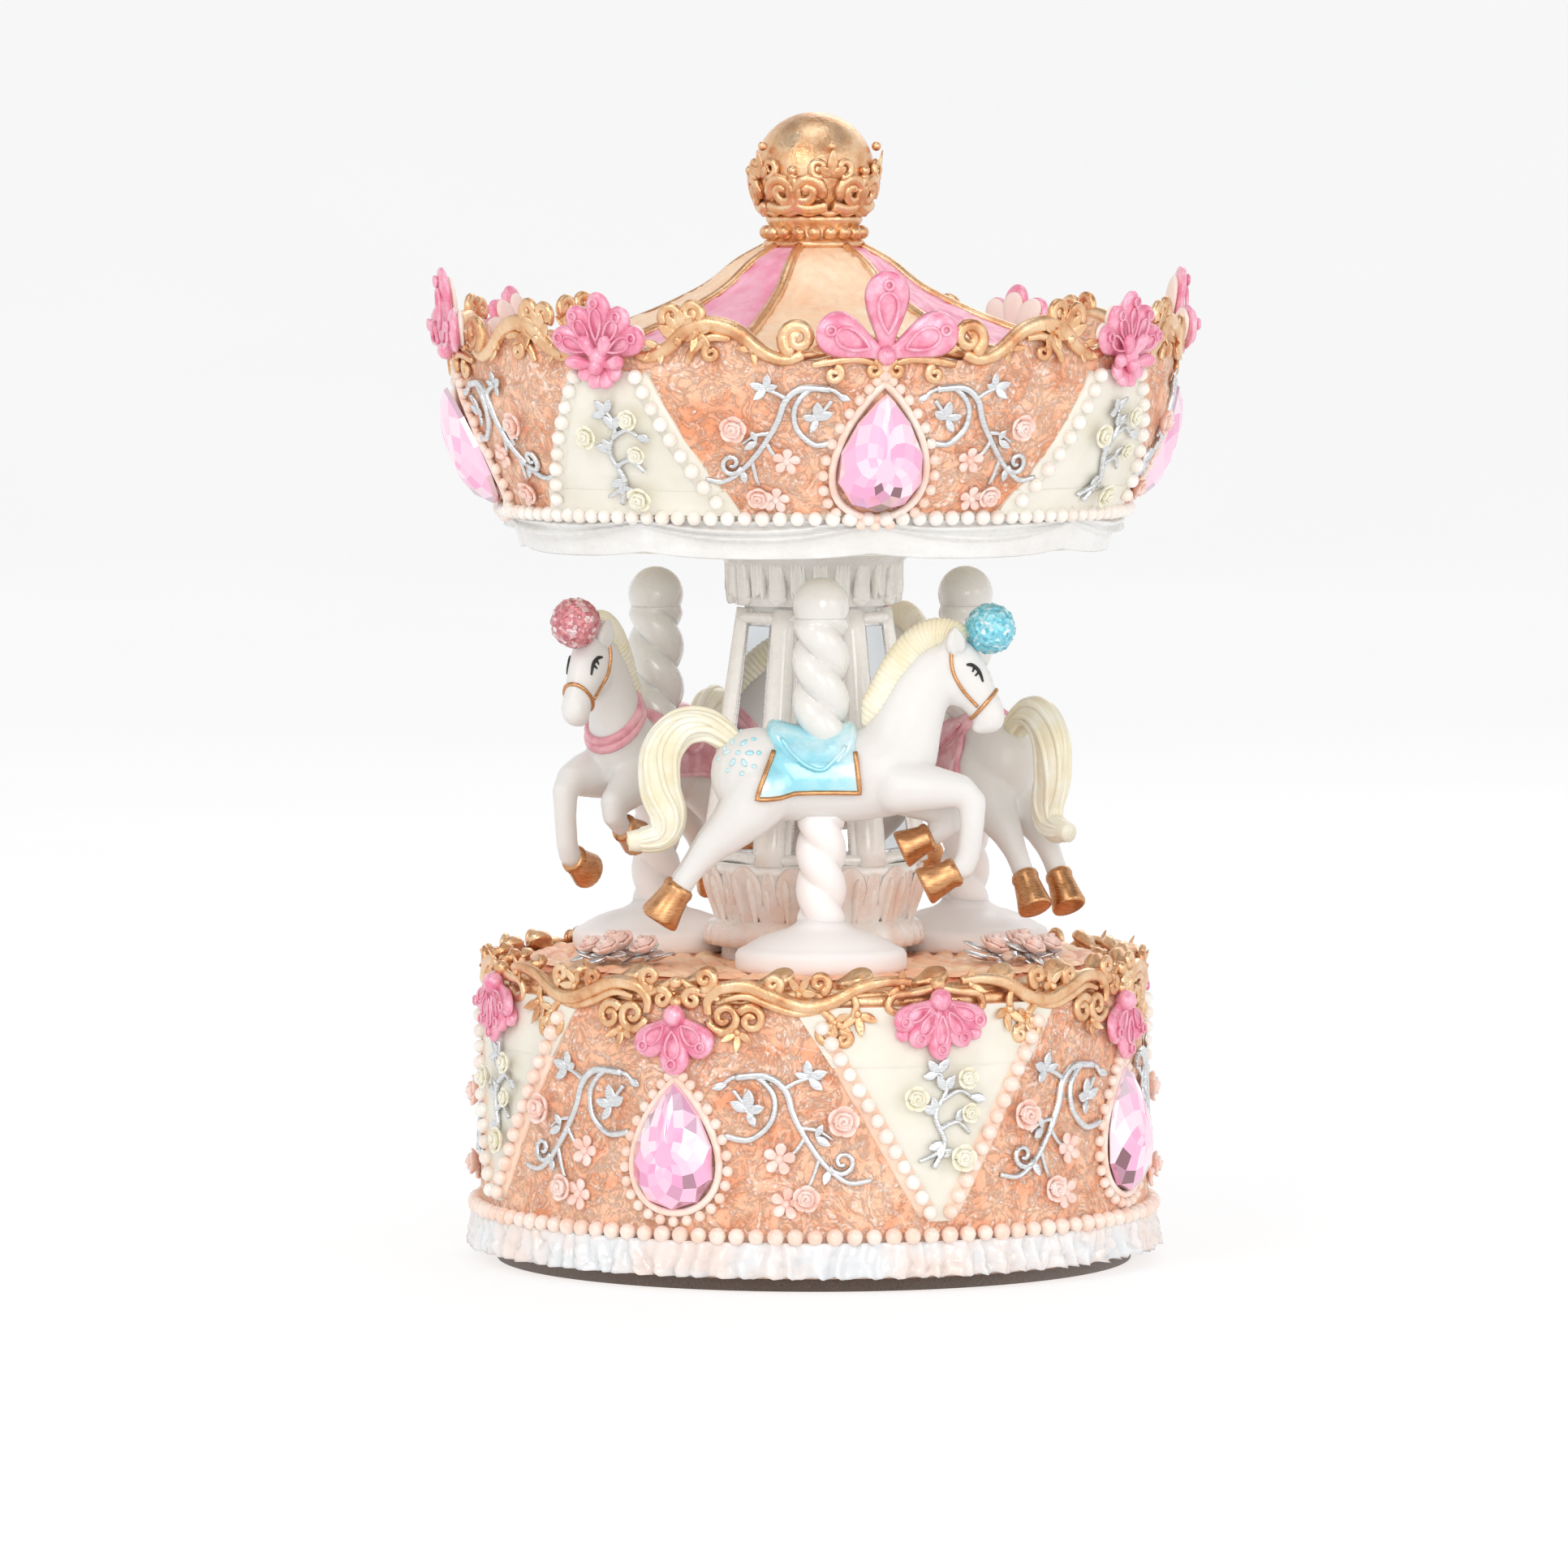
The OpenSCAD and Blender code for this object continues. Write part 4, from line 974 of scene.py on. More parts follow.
COLUMN_TURN = 4.0
COLUMN_FOOT_Z = low("column_core")
COLUMN_TOP_Z = top("column_core")
COLUMN_FOOT_R, COLUMN_TOP_R = 16.0, 10.6


def hex_ring(z):
    """The six corners of the column at a height."""
    r = lerp(COLUMN_FOOT_R, COLUMN_TOP_R, (z - COLUMN_FOOT_Z) / (COLUMN_TOP_Z - COLUMN_FOOT_Z))
    return [spot(COLUMN_TURN + 30 + 60 * i, r, z) for i in range(6)]


def make_column():
    """Six mirrors in moulded frames between round corner ribs, on a leafy foot and under a leafy capital."""
    frames, mirrors = Shape(), Shape()
    foot, head = hex_ring(COLUMN_FOOT_Z + 0.6), hex_ring(COLUMN_TOP_Z - 0.6)
    for i in range(6):
        mid = turned(COLUMN_TURN + 30 + 60 * i)
        rib = [(foot[i].lerp(head[i], t) - mid * 0.3, mid) for t in ticks(12)]
        frames.tube(rib, lambda t: 1.9 - 0.4 * t, sides=14, wide=1.25)
        for off in SIDES:
            side = Vector((-mid.y, mid.x, 0)) * off
            line = [(p + side * lerp(2.5, 1.9, k / 12) - mid * 0.9, n) for k, (p, n) in enumerate(rib)]
            frames.tube(line, lambda t: 0.75 - 0.15 * t)
        a, b, c, d = foot[i], foot[(i + 1) % 6], head[i], head[(i + 1) % 6]
        n = turned(COLUMN_TURN + 60 * (i + 1))
        for s in (0.028, 0.965):
            left, right = a.lerp(c, s), b.lerp(d, s)
            frames.tube([(left.lerp(right, t) + n * 0.35, n) for t in ticks(8)], 0.95)
        n = (n + Vector((0, 0, 0.11))).normalized()
        corners = [a.lerp(c, s).lerp(b.lerp(d, s), k)
                   for s, k in ((0.055, 0.22), (0.055, 0.78), (0.94, 0.78), (0.94, 0.22))]
        front = [p + n * 0.32 for p in corners]
        centre = sum(front, Vector()) / 4
        faces = [(8, 9, 10, 11), (3, 2, 1, 0)]
        for k in range(4):
            m = (k + 1) % 4
            faces += [(k, m, 4 + m, 4 + k), (4 + k, 4 + m, 8 + m, 8 + k)]
        mirrors.add(corners + front + [p.lerp(centre, 0.02) + n * 0.22 for p in front], faces, flat=True)
        for k in range(4):
            mirrors.tube([(front[k].lerp(front[(k + 1) % 4], t), n) for t in ticks(4)], 0.36, 1, sides=6)
    frames.build("column_frames", "carousel", [COLUMN_PEARL], "white_pearl_resin")
    mirrors.build("column_mirror_strips", "carousel", [MIRROR, SILVER], "mirror_glass", ["column_mirrors"])

    leaves = Shape()
    cap_z, foot_z = low("column_capital"), low("column_foot")
    leaves.lathe([(8.0, -0.2), (10.9, 0), (11.5, 0.8), (11.2, 1.8), (11.6, 4), (12.4, 6), (13.6, 7.6),
                  (14.0, 8.6),
                  (3.0, 8.7)], sides=288, wave=lambda a, i: 0.3 * sin(a * 48) if 2 < i < 8 else 0, z=cap_z)
    for i in range(24):
        az = COLUMN_TURN + 15 * i
        n = turned(az)
        broad = i % 2 == 0
        leaves.petal(spot(az, 13.7, cap_z + 8.4), -UP - n * 0.3, n, 8.2 if broad else 6.6,
                     3.0 if broad else 1.9, 0.95, curl=1.5, groove=0.6, tip=0.75)
        for shift in (-3.6, 3.6):
            d = turned(az + shift)
            leaves.petal(spot(az + shift, 13.6, cap_z + 8.4), -UP - d * 0.3, d, 7.2, 0.8, 0.9, curl=1.2)
        if broad:
            across = Vector((-n.y, n.x, 0))
            leaves.tube([(spot(az, 12.7, cap_z + 0.6 + 0.06 * k * k) + across * (1.2 * k / 4), n)
                         for k in range(-4, 5)], 0.6, sides=9)
    for i in range(12):
        az = COLUMN_TURN + 30 * i + 15
        for shift, long, wide, lean in ((0, 10.4, 6.2, 0.16), (-10, 7.6, 3.4, 0.1), (10, 7.6, 3.4, 0.1),
                                        (15, 9.6, 3.2, 0.12)):
            d = turned(az + shift)
            leaves.petal(spot(az + shift, 14.2, foot_z + 4.6), UP + d * lean, d, long, wide, 0.8, 1, curl=0.8,
                         groove=0.55, tip=0.6)
        for shift in (-4.5, 4.5):
            d = turned(az + shift)
            leaves.petal(spot(az + shift, 14.6, foot_z + 4.8), UP + d * 0.16, d, 8.4, 1.3, 1.0, 1, curl=0.8)
    leaves.lathe([(15.2, -1.2), (16.2, -0.8), (16.5, 0), (16.0, 0.7), (15.0, 0.9)], z=COLUMN_FOOT_Z)
    leaves.lathe([(14.6, 6.2), (16.0, 5.6), (16.7, 4.6), (16.9, 3.2), (16.6, 2.2), (15.0, 2.0)], mat=1,
                 sides=144, wave=lambda a, i: 0.16 * sin(a * 36), z=foot_z)
    leaves.build("column_leaves", "carousel", [COLUMN_PEARL, BLUSH_PEARLY], "white_pearl_resin")


# -------- canopy

# How the canopy's edge rises and falls: arc distance from a stone, and height over the rim.
RIM_WAVE = [(0, -0.2), (12.0, 0.2), (14.7, 0.4), (17.9, 1.6), (21.8, 4.4), (25.8, 5.4), (29.0, 4.6),
            (32.1, 2.0), (35.3, 0.8), (37.8, 1.4), (45.0, 1.4)]


def rim_height(az):
    u = abs((az - CANOPY_TURN + 45) % 90 - 45) * pi / 180 * RIM_R
    for (u0, v0), (u1, v1) in zip(RIM_WAVE, RIM_WAVE[1:]):
        if u <= u1:
            return RIM_Z + lerp(v0, v1, smooth((u - u0) / (u1 - u0)))
    return RIM_Z + RIM_WAVE[-1][1]


def make_canopy():
    relief_skin("canopy_lace_wall", "carousel", CANOPY_WALL, WALL_FOOT + 1.0, rim_height)
    canopy_border()

    stone_z = middle("canopy_gems").z
    stones("canopy_stones", "carousel", CANOPY_WALL, CANOPY_TURNS, stone_z, 11, "canopy_gems")
    settings("canopy_stone_settings", "carousel", CANOPY_WALL, CANOPY_TURNS, stone_z, (10.9, 12.4, 13.9), 0.8,
             "canopy_gem_settings")

    pearls, fields, shells = Shape(), Shape(), Shape()
    pearl_band(pearls, CANOPY_WALL, WALL_FOOT + 0.4, 2.62, 1.16, 0.8)
    for az in CANOPY_TURNS:
        for side in SIDES:
            pearl_row(pearls, CANOPY_WALL, az + 45, (side * 14.4, WALL_FOOT + 3.2), (side * 5.4, RIM_Z - 2.2),
                      2.45, 1.12, 0, 1)
        cream_field(fields, CANOPY_WALL, az + 45, WALL_FOOT + 0.8, WALL_FOOT + 4.5, 17.6, 16.2)
        fan(shells, CANOPY_WALL, az, RIM_Z + 1.0, 3, 66, 12.2, 6.8, out=1.2, lean=0.02, knob=1.4)
        fan(shells, CANOPY_WALL, az + 45, RIM_Z + 0.6, 5, 66, 9.4, 4.4, out=1.0, lean=0.04, knob=1.7)
        fan(shells, CANOPY_WALL, az + 45, RIM_Z + 0.2, 4, 54, 4.4, 2.7, down=True, out=1.2, knob=1.2,
            rim=False)
        fan(shells, CANOPY_WALL, az + 45, RIM_Z - 0.6, 4, 80, 5.4, 2.2, out=2.0, lean=0.1, knob=1.2,
            rim=False)
        # The pale backs of the large and the small shells.
        for turn, rise, spread, count, size, width in ((az, 1.0, 66, 3, 10.6, 6.2),
                                                       (az + 45, 0.6, 62, 5, 8.0, 3.8)):
            p, n = CANOPY_WALL.at(turn, RIM_Z + rise, 0.2)
            across, upward = right_and_up(n)
            for t in ticks(count - 1):
                a = radians(lerp(-spread, spread, t))
                d = upward * cos(a) + across * sin(a) + n * 0.02
                shells.petal(p + d * 0.5, d, n, size, width, 0.8, 1, curl=0.7)
    fields.build("canopy_cream_fields", "carousel", [CREAM], "cream_resin")
    pearls.build("canopy_pearl_rows", "carousel", [PEARL_WHITE, CREAM], "pearl", ["canopy_pearls"])
    shells.build("canopy_shells", "carousel", [PINK_PEARLY, FLESH], "pink_pearl_paint",
                 ["canopy_pink_shells"])

    vines("canopy_vines", "carousel", CANOPY_WALL, CANOPY_TURNS, stone_z, 0.84, stone_z - 1.0, 0.95,
          "canopy_silver_sprays")
    make_skirt()
    make_roof()


def make_skirt():
    """Eight swags of gathered cloth in pearly resin over a plain scalloped hem."""
    shape = Shape()
    azimuths = [0.5 * j for j in range(720)]
    swag = 360 / 8
    head, inner = WALL_FOOT + 0.4, 43.9
    grid = []
    for t in ticks(26):
        row = []
        for az in azimuths:
            s = ((az - CANOPY_TURN) / swag) % 1.0
            sag = 1 - (2 * s - 1) ** 2
            z = lerp(head, SKIRT_Z + (1 - sag) ** 1.4, t)
            drape = 0.28 + 0.36 * sag
            cloth = smooth((drape - t) * 9) * smooth(t * 8)
            crease = noise.noise(Vector((az * 0.05, t * 2, 3.0))) * 0.5
            fold = sin(tau * (t / drape * 2.6 + crease)) * 0.62 * cloth
            knot = exp(-(min(s, 1 - s) / 0.05) ** 2) * 0.6 * (1 - 0.5 * t)
            ripple = noise.noise(Vector((az * 0.15, t * 5, 0))) * 0.14
            hem = 0.5 * (1 - t) - 0.9 * t * t
            row.append(spot(az, SKIRT_R - 0.9 + cloth + fold + knot + ripple + hem, z))
        grid.append(row)
    for z in (SKIRT_Z + 0.7, head - 0.6):
        grid.append([spot(az, inner, z) for az in azimuths])
    shape.grid(grid, ring=True, loop=True)
    shape.build("canopy_swags", "carousel", [WHITE_PEARLY], "white_pearl_resin", ["canopy_swag_skirt"])


# Radius and drop below the neck, from the finial out to the rim.
ROOF = curve([(7.4, 0.0), (12.0, 2.5), (17.0, 6.3), (24.4, 9.9), (31.8, 12.7), (40.0, 15.0),
              (RIM_R - 2.2, 16.2)], 6)
ROOF_EDGE = 28


def roof_point(az, s):
    """A point of the roof, s from 0 at the neck to 1 at the rim, and its outward normal."""
    x = s * (len(ROOF) - 1)
    i = min(int(x), len(ROOF) - 2)
    (r0, z0), (r1, z1) = ROOF[i:i + 2]
    n = (UP + turned(az) * ((z1 - z0) / (r1 - r0))).normalized()
    return spot(az, lerp(r0, r1, x - i), NECK_Z - lerp(z0, z1, x - i)), n


def make_roof():
    """Wide peach fields and narrow pink ones, with gold ribs over their edges."""
    fields, ribs = Shape(), Shape()
    rows = 44
    for az in CANOPY_TURNS:
        for pink, start, width in ((0, -ROOF_EDGE, 2 * ROOF_EDGE), (1, ROOF_EDGE, 90 - 2 * ROOF_EDGE)):
            grid = []
            for i in range(rows + 1):
                row = []
                for j in range(width + 1):
                    p, n = roof_point(az + start + j, i / rows)
                    edge = smooth(min(j, width - j) / 3) * smooth(min(i, rows - i) / 2)
                    vein = max(0.0, 1 - abs(noise.noise(p * (0.2 if pink else 0.3))) * 4) ** 2
                    row.append(p + n * (0.14 + edge * (0.15 + 0.28 * vein + 0.28 * noise.noise(p * 0.8))))
                grid.append(row)
            fields.grid(grid, pink)
        for edge in (-ROOF_EDGE, ROOF_EDGE):
            path = [(p + n * 0.4, n) for p, n in (roof_point(az + edge, s) for s in ticks(40))]
            ribs.tube(path, lambda t: 0.62 + 0.25 * t, wide=1.3)
    fields.build("roof_fields", "carousel", [ROOF_PEACH, ROOF_PINK], "peach_resin")
    ribs.build("roof_gold_ribs", "carousel", [GOLD], "antique_gold", ["roof_ribs"])


def make_finial():
    """Gold ball in a low openwork crown, over a bead ring and a turned neck."""
    shape = Shape()
    z = NECK_Z
    shape.lathe([(0.5, 0.2), (7.6, 0.1), (7.9, 0.6), (7.6, 1.1), (6.9, 1.4), (6.8, 3.4), (7.1, 3.8),
                 (7.4, 4.3), (7.2, 5.0), (6.4, 5.4), (5.4, 5.6)], sides=72, z=z)
    for i in range(19):
        shape.ball(spot(360 * i / 19, 7.3, z + 2.4), 1.1)
    shape.ball(Vector((0, 0, BALL_Z)), BALL_R, 0, 72)
    crown = Wall(lifted([(7.0, 4.6), (8.0, 6.4), (8.9, 8.6), (9.35, 11.2), (9.3, 13.6), (8.8, 16.4)], z))
    rim = [crown.at(5 * k, z + 5.6 + 0.25 * sin(k * 1.4), 0.3) for k in range(72)]
    shape.tube(rim, 0.55, sides=7, closed=True)
    # Each scroll's line, its thickness, what it loses along the line, and its distance from the ball.
    scrolls = ((spiral(3.6, 8.6, 2.4, 1.5, 200, -1, 20), 0.72, 0.2, 0.4),
               (curve([(0.5, 6.6), (2.8, 6.1), (5.2, 6.8), (6.2, 9.0), (5.6, 11.2)], 6), 0.75, 0.25, 0.45),
               (spiral(1.9, 12.2, 1.5, 1.1, 250, 1, 14), 0.55, 0.15, 0.45))
    for az in (72 * q + 16 for q in range(5)):
        for side in SIDES:
            for line, thick, fall, out in scrolls:
                scroll_tube(shape, crown, az, flipped(lifted(line, z), side), lambda t: thick - fall * t, out)
        for angle, size in ((90, 4.2), (142, 2.6), (38, 2.6)):
            leaf_on(shape, crown, az, 0.0, z + 10.8, angle, size, 1.7)
        shape.ball(crown.at(az, z + 15.4, 0.5)[0], 0.75, 0, 10)
        shape.ball(crown.at(az + 36, z + 11.8, 0.4)[0], 0.8, 0, 10)
    shape.build("finial_ball_and_crown", "carousel", [GOLD], "antique_gold", ["finial"])


# -------- poles

def twisted(shape, axis, z0, z1, r, pitch, depth):
    """A two-strand rope-twisted pole between two heights; pitch is the rise from one strand to the next."""
    rows = []
    for t in ticks(max(24, round((z1 - z0) * 3))):
        z = lerp(z0, z1, t)
        fade = smooth((z - z0) / 2.0) * smooth((z1 - z) / 1.5)
        row = []
        for a in around(40):
            q = r * (1 + depth * fade * (1.35 * abs(cos(a + pi * (z - z0) / pitch)) ** 0.55 - 1))
            row.append(axis + Vector((q * cos(a), q * sin(a), z)))
        rows.append(row)
    shape.grid(rows, ring=True, caps=True)


def make_poles():
    for i, az in enumerate(HORSE_TURNS, 1):
        axis = turned(az) * POLE_RING
        lower, upper = Shape(), Shape()
        lo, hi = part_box(f"pole_foot_{i}")
        r = (hi[0] - lo[0]) / 2 / MM
        lower.lathe([(0.2, 0.02), (r - 0.8, 0.02), (r - 0.1, 0.5), (r, 1.2), (r, 2.6), (r - 0.4, 3.3),
                     (r - 1.2, 3.7),
                     (r - 1.5, 3.8), (r - 2.2, 4.3), (9.0, 5.2), (7.0, 5.9), (5.2, 6.4), (4.1, 7.0),
                     (3.4, 7.8), (2.6, 8.0)], axis, sides=72, z=DECK_Z)
        twisted(lower, axis, DECK_Z + 6.6, top(f"pole_foot_{i}"), 3.5, 5.8, 0.24)
        lower.build(f"pole_and_foot_{i}", "carousel", [WAX_WHITE], "wax_white", [f"pole_foot_{i}"])
        z1 = top(f"upper_pole_{i}")
        twisted(upper, axis, low(f"upper_pole_{i}"), z1 - 6.0, 3.9, 6.4, 0.34)
        upper.ball(axis + Vector((0, 0, z1 - 4.2)), 4.25, 0, 28, (1, 1, 1.02))
        upper.build(f"pole_top_{i}", "carousel", [POLE_PEARL], "white_pearl_resin", [f"upper_pole_{i}"])


# -------- horses

# The horse is drawn in its own plane: x forwards, y towards the column, z up, with the pole at x = 0.
# Body, head and cheek: x, z, radius, flatness. Legs: x, y, z, radius. Hooves: place, direction, length.
BODY_SPINE = [(-9.6, 75.7, 7.1, 0.84), (-5.5, 75.4, 6.8, 0.82), (0, 75.0, 6.6, 0.8), (5, 75.3, 6.8, 0.8),
              (9.2, 76.1, 7.0, 0.8), (11.6, 79.2, 6.1, 0.74), (13.0, 83.4, 5.3, 0.66),
              (14.6, 87.4, 4.7, 0.62), (17.2, 90.8, 4.3, 0.62), (20.0, 92.2, 4.1, 0.68)]
HEAD_SPINE = [(20.4, 91.8, 4.0, 0.72), (22.0, 89.6, 3.6, 0.74), (23.6, 87.2, 2.95, 0.76),
              (24.9, 85.2, 2.6, 0.82), (25.2, 84.2, 2.5, 0.86)]
CHEEK = [(19.8, 89.4, 3.1, 0.95), (21.2, 88.2, 2.6, 0.9)]
NEAR_FORE = [(11.5, -3.0, 74.0, 4.2), (16.0, -3.4, 73.8, 3.5), (20.6, -3.4, 73.4, 2.5),
             (22.6, -3.4, 71.6, 2.1),
             (22.5, -3.4, 67.5, 1.85), (22.0, -3.4, 63.6, 1.8), (21.2, -3.4, 61.8, 1.8),
             (19.8, -3.4, 61.2, 1.6)]
FAR_FORE = [(11.0, 3.0, 73.5, 4.0), (15.4, 3.4, 71.6, 3.2), (19.4, 3.4, 70.0, 2.3), (19.6, 3.4, 68.0, 1.9),
            (17.6, 3.4, 66.4, 1.6), (15.8, 3.4, 65.6, 1.5)]
HIND = [(-8.8, 2.6, 73.4, 5.2), (-11.2, 3.0, 70.2, 4.3), (-13.8, 3.1, 67.4, 3.3), (-16.4, 3.1, 65.2, 2.6),
        (-18.6, 3.1, 62.6, 1.95), (-20.2, 3.1, 60.4, 1.75), (-21.4, 3.1, 58.6, 1.8)]
HOOVES = [((20.2, -3.4, 61.3), (-0.86, 0.0, -0.42), 5.6), ((16.6, 3.4, 66.0), (-0.88, 0.0, -0.4), 5.0),
          ((-21.2, 3.1, 58.9), (-0.54, 0.0, -0.84), 6.2), ((-21.2, -3.1, 58.9), (-0.54, 0.0, -0.84), 6.2)]


def beads_between(points):
    """Balls along a chain of (x, y, z, r, ...), close enough to fuse."""
    out = []
    for a, b in zip(points, points[1:]):
        n = max(2, ceil(dist(a[:3], b[:3]) / 0.72))
        out += [tuple(lerp(p, q, i / n) for p, q in zip(a, b)) for i in range(n)]
    return out + [points[-1]]


def remeshed(shape, voxel, passes):
    """The shape's overlapping solids fused into one smooth skin, as (verts in mm, faces)."""
    mesh = bpy.data.meshes.new("work")
    mesh.from_pydata(shape.verts, [], shape.faces)
    obj = bpy.data.objects.new("work", mesh)
    bpy.context.scene.collection.objects.link(obj)
    fuse = obj.modifiers.new("fuse", "REMESH")
    fuse.mode = "VOXEL"
    fuse.voxel_size = voxel
    relax = obj.modifiers.new("relax", "SMOOTH")
    relax.factor = 0.5
    relax.iterations = passes
    final = obj.evaluated_get(bpy.context.evaluated_depsgraph_get())
    done = final.to_mesh()
    verts = [v.co.copy() for v in done.vertices]
    faces = [tuple(p.vertices) for p in done.polygons]
    final.to_mesh_clear()
    bpy.data.objects.remove(obj)
    bpy.data.meshes.remove(mesh)
    return verts, faces


def horse_skin():
    work = Shape()
    for chain in (BODY_SPINE, HEAD_SPINE):
        for x, y, z, r, f in beads_between([(x, 0.0, z, r, f) for x, z, r, f in chain]):
            work.ball(Vector((x, y, z)), r, 0, 20, (1, f, 1))
    for x, z, r, f in CHEEK:
        work.ball(Vector((x, 0, z)), r, 0, 20, (1, f, 1))
    near_hind = [(x, -y, z, r) for x, y, z, r in HIND]
    for chain in (NEAR_FORE, FAR_FORE, HIND, near_hind):
        for x, y, z, r in beads_between(chain):
            work.ball(Vector((x, y, z)), r, 0, 16, (1, 0.92, 1))
    for side in SIDES:
        for x, z, r in ((19.2, 95.0, 1.15), (19.5, 96.2, 1.0), (20.0, 97.4, 0.62)):
            work.ball(Vector((x, side * 1.75, z)), r, 0, 12, (1, 0.7, 1.3))
        work.ball(Vector((26.4, side * 1.1, 84.6)), 0.9, 0, 10)
    work.ball(Vector((24.2, 0, 82.6)), 1.3, 0, 12, (1.3, 1.1, 0.8))
    return remeshed(work, voxel=0.42, passes=7)


class Skin:
    """Finds places on the horse's surface, so that harness and hair lie on it."""

    def __init__(self, verts, faces):
        self.tree = BVHTree.FromPolygons(verts, faces)

    def side(self, x, z, side, out=0.0):
        """The point seen from one side at (x, z)."""
        p, n, *_ = self.tree.ray_cast(Vector((x, side * 30, z)), Vector((0, -side, 0)))
        if p is None:
            p, n, *_ = self.tree.find_nearest(Vector((x, side * 3, z)))
        return p + n * out, n

    def line(self, points, steps, side, out):
        """A smooth line on one side, through flat points."""
        return [self.side(x, z, side, out) for x, z in curve(points, steps)]

    def round(self, centre, direction, out=0.0):
        """The point in a direction from a centre inside the horse."""
        d = direction.normalized()
        p, n, *_ = self.tree.ray_cast(centre, d)
        if p is None:
            p, n, *_ = self.tree.find_nearest(centre + d * 5)
        n = n if n.dot(d) > 0 else -n
        return p + n * out, n

    def belt(self, centre, span, count, out):
        """A closed line round the horse, in the plane of the y axis and span."""
        return [self.round(centre, SIDEWAYS * cos(a) + span * sin(a), out) for a in around(count)]


def saddle(shape, skin, cloth, trim):
    """A cloth over the back with side trim, under a dished seat with raised ends."""
    axis_z = 75.4

    def sheet(half_angle, ends, lift, thick, steps, across):
        rows = []
        for u in ticks(steps):
            row = []
            for k in range(across + 1):
                s = 2 * k / across - 1
                phi = radians(half_angle * s)
                axis = Vector((lerp(*ends(abs(s)), u), 0, axis_z))
                p, n = skin.round(axis, Vector((0, sin(phi), cos(phi))))
                d = (p - axis).normalized()
                row.append(p + (n + d).normalized() * lift(2 * u - 1, abs(s)))
            rows.append(row)
        under = [[p - (p - Vector((p.x, 0, axis_z))).normalized() * thick for p in row] for row in rows]
        shape.grid(rows, cloth)
        shape.grid([row[::-1] for row in under], cloth)
        for k in (0, -1):
            shape.grid([rows[k], under[k]], cloth)
        for k in (0, -1):
            shape.grid([[row[k] for row in rows], [row[k] for row in under]], cloth)
        return rows

    rows = sheet(112, lambda t: (lerp(-6.0, -9.9, t ** 1.4), lerp(4.4, 5.6, t)), lambda u, t: 0.55, 0.8, 24,
                 48)
    sheet(66, lambda t: (-8.3 + 3.9 * t ** 2.6, 5.4 - 2.2 * t ** 2.6),
          lambda u, t: (1.1 + 1.2 * u ** 2 * (1 - t ** 2)) * sqrt(max(0.0, 1 - u ** 6))
          * (1 - 0.35 * smooth(t * 1.6 - 0.6)), 1.5, 36, 40)
    for ks in (range(0, 14), range(48, 34, -1)):
        line = [rows[0][k] for k in ks][::-1] + [row[ks[0]] for row in rows][1:-1] + [rows[-1][k] for k in ks]
        shape.tube([(p, (p - Vector((p.x * 0.6, 0, axis_z))).normalized()) for p in line], 0.4, trim, sides=7)
    for side in SIDES:
        shape.tube(skin.line([(-6.4, 80.4), (-3.4, 77.6), (0.2, 76.6), (3.6, 79.4)], 6, side, 1.5), 0.34,
                   cloth, sides=6)


def harness(shape, skin, trim, lash):
    """Ears, gold cheek straps and nose band, and closed eyes with lashes."""
    for side in SIDES:
        root, _ = skin.side(20.4, 92.9, side, -0.9)
        shape.petal(root, Vector((-0.1, 0.16 * side, 1)), Vector((0.35, side, 0)), 5.2, 3.3, 1.0, groove=0.5,
                    tip=0.5)
        strap = skin.line([(19.4, 94.4), (19.6, 91.4), (21.0, 88.6), (23.4, 85.9)], 7, side, 0.12)
        shape.tube(strap, 0.28, trim, sides=6)
        lid = skin.line([(21.7, 92.2), (22.6, 92.1), (23.6, 91.2), (24.2, 89.6)], 5, side, 0.05)
        shape.tube(lid, lambda t: 0.16 + 0.16 * sin(pi * t), lash, sides=6)
        for x0, z0, x1, z1 in ((22.9, 91.8, 22.6, 91.1), (23.6, 91.1, 23.0, 90.5)):
            mark = [skin.side(lerp(x0, x1, t), lerp(z0, z1, t), side, 0.05) for t in ticks(2)]
            shape.tube(mark, lambda t: 0.22 - 0.1 * t, lash, sides=5)
    span = Vector((0.75, 0, -0.66)).cross(SIDEWAYS).normalized()
    shape.tube(skin.belt(Vector((24.2, 0, 85.9)), span, 24, 0.12), 0.32, trim, sides=6, closed=True)


def tail_width(t):
    return 1.25 * sin(pi * min(1, t * 1.02)) ** 0.8


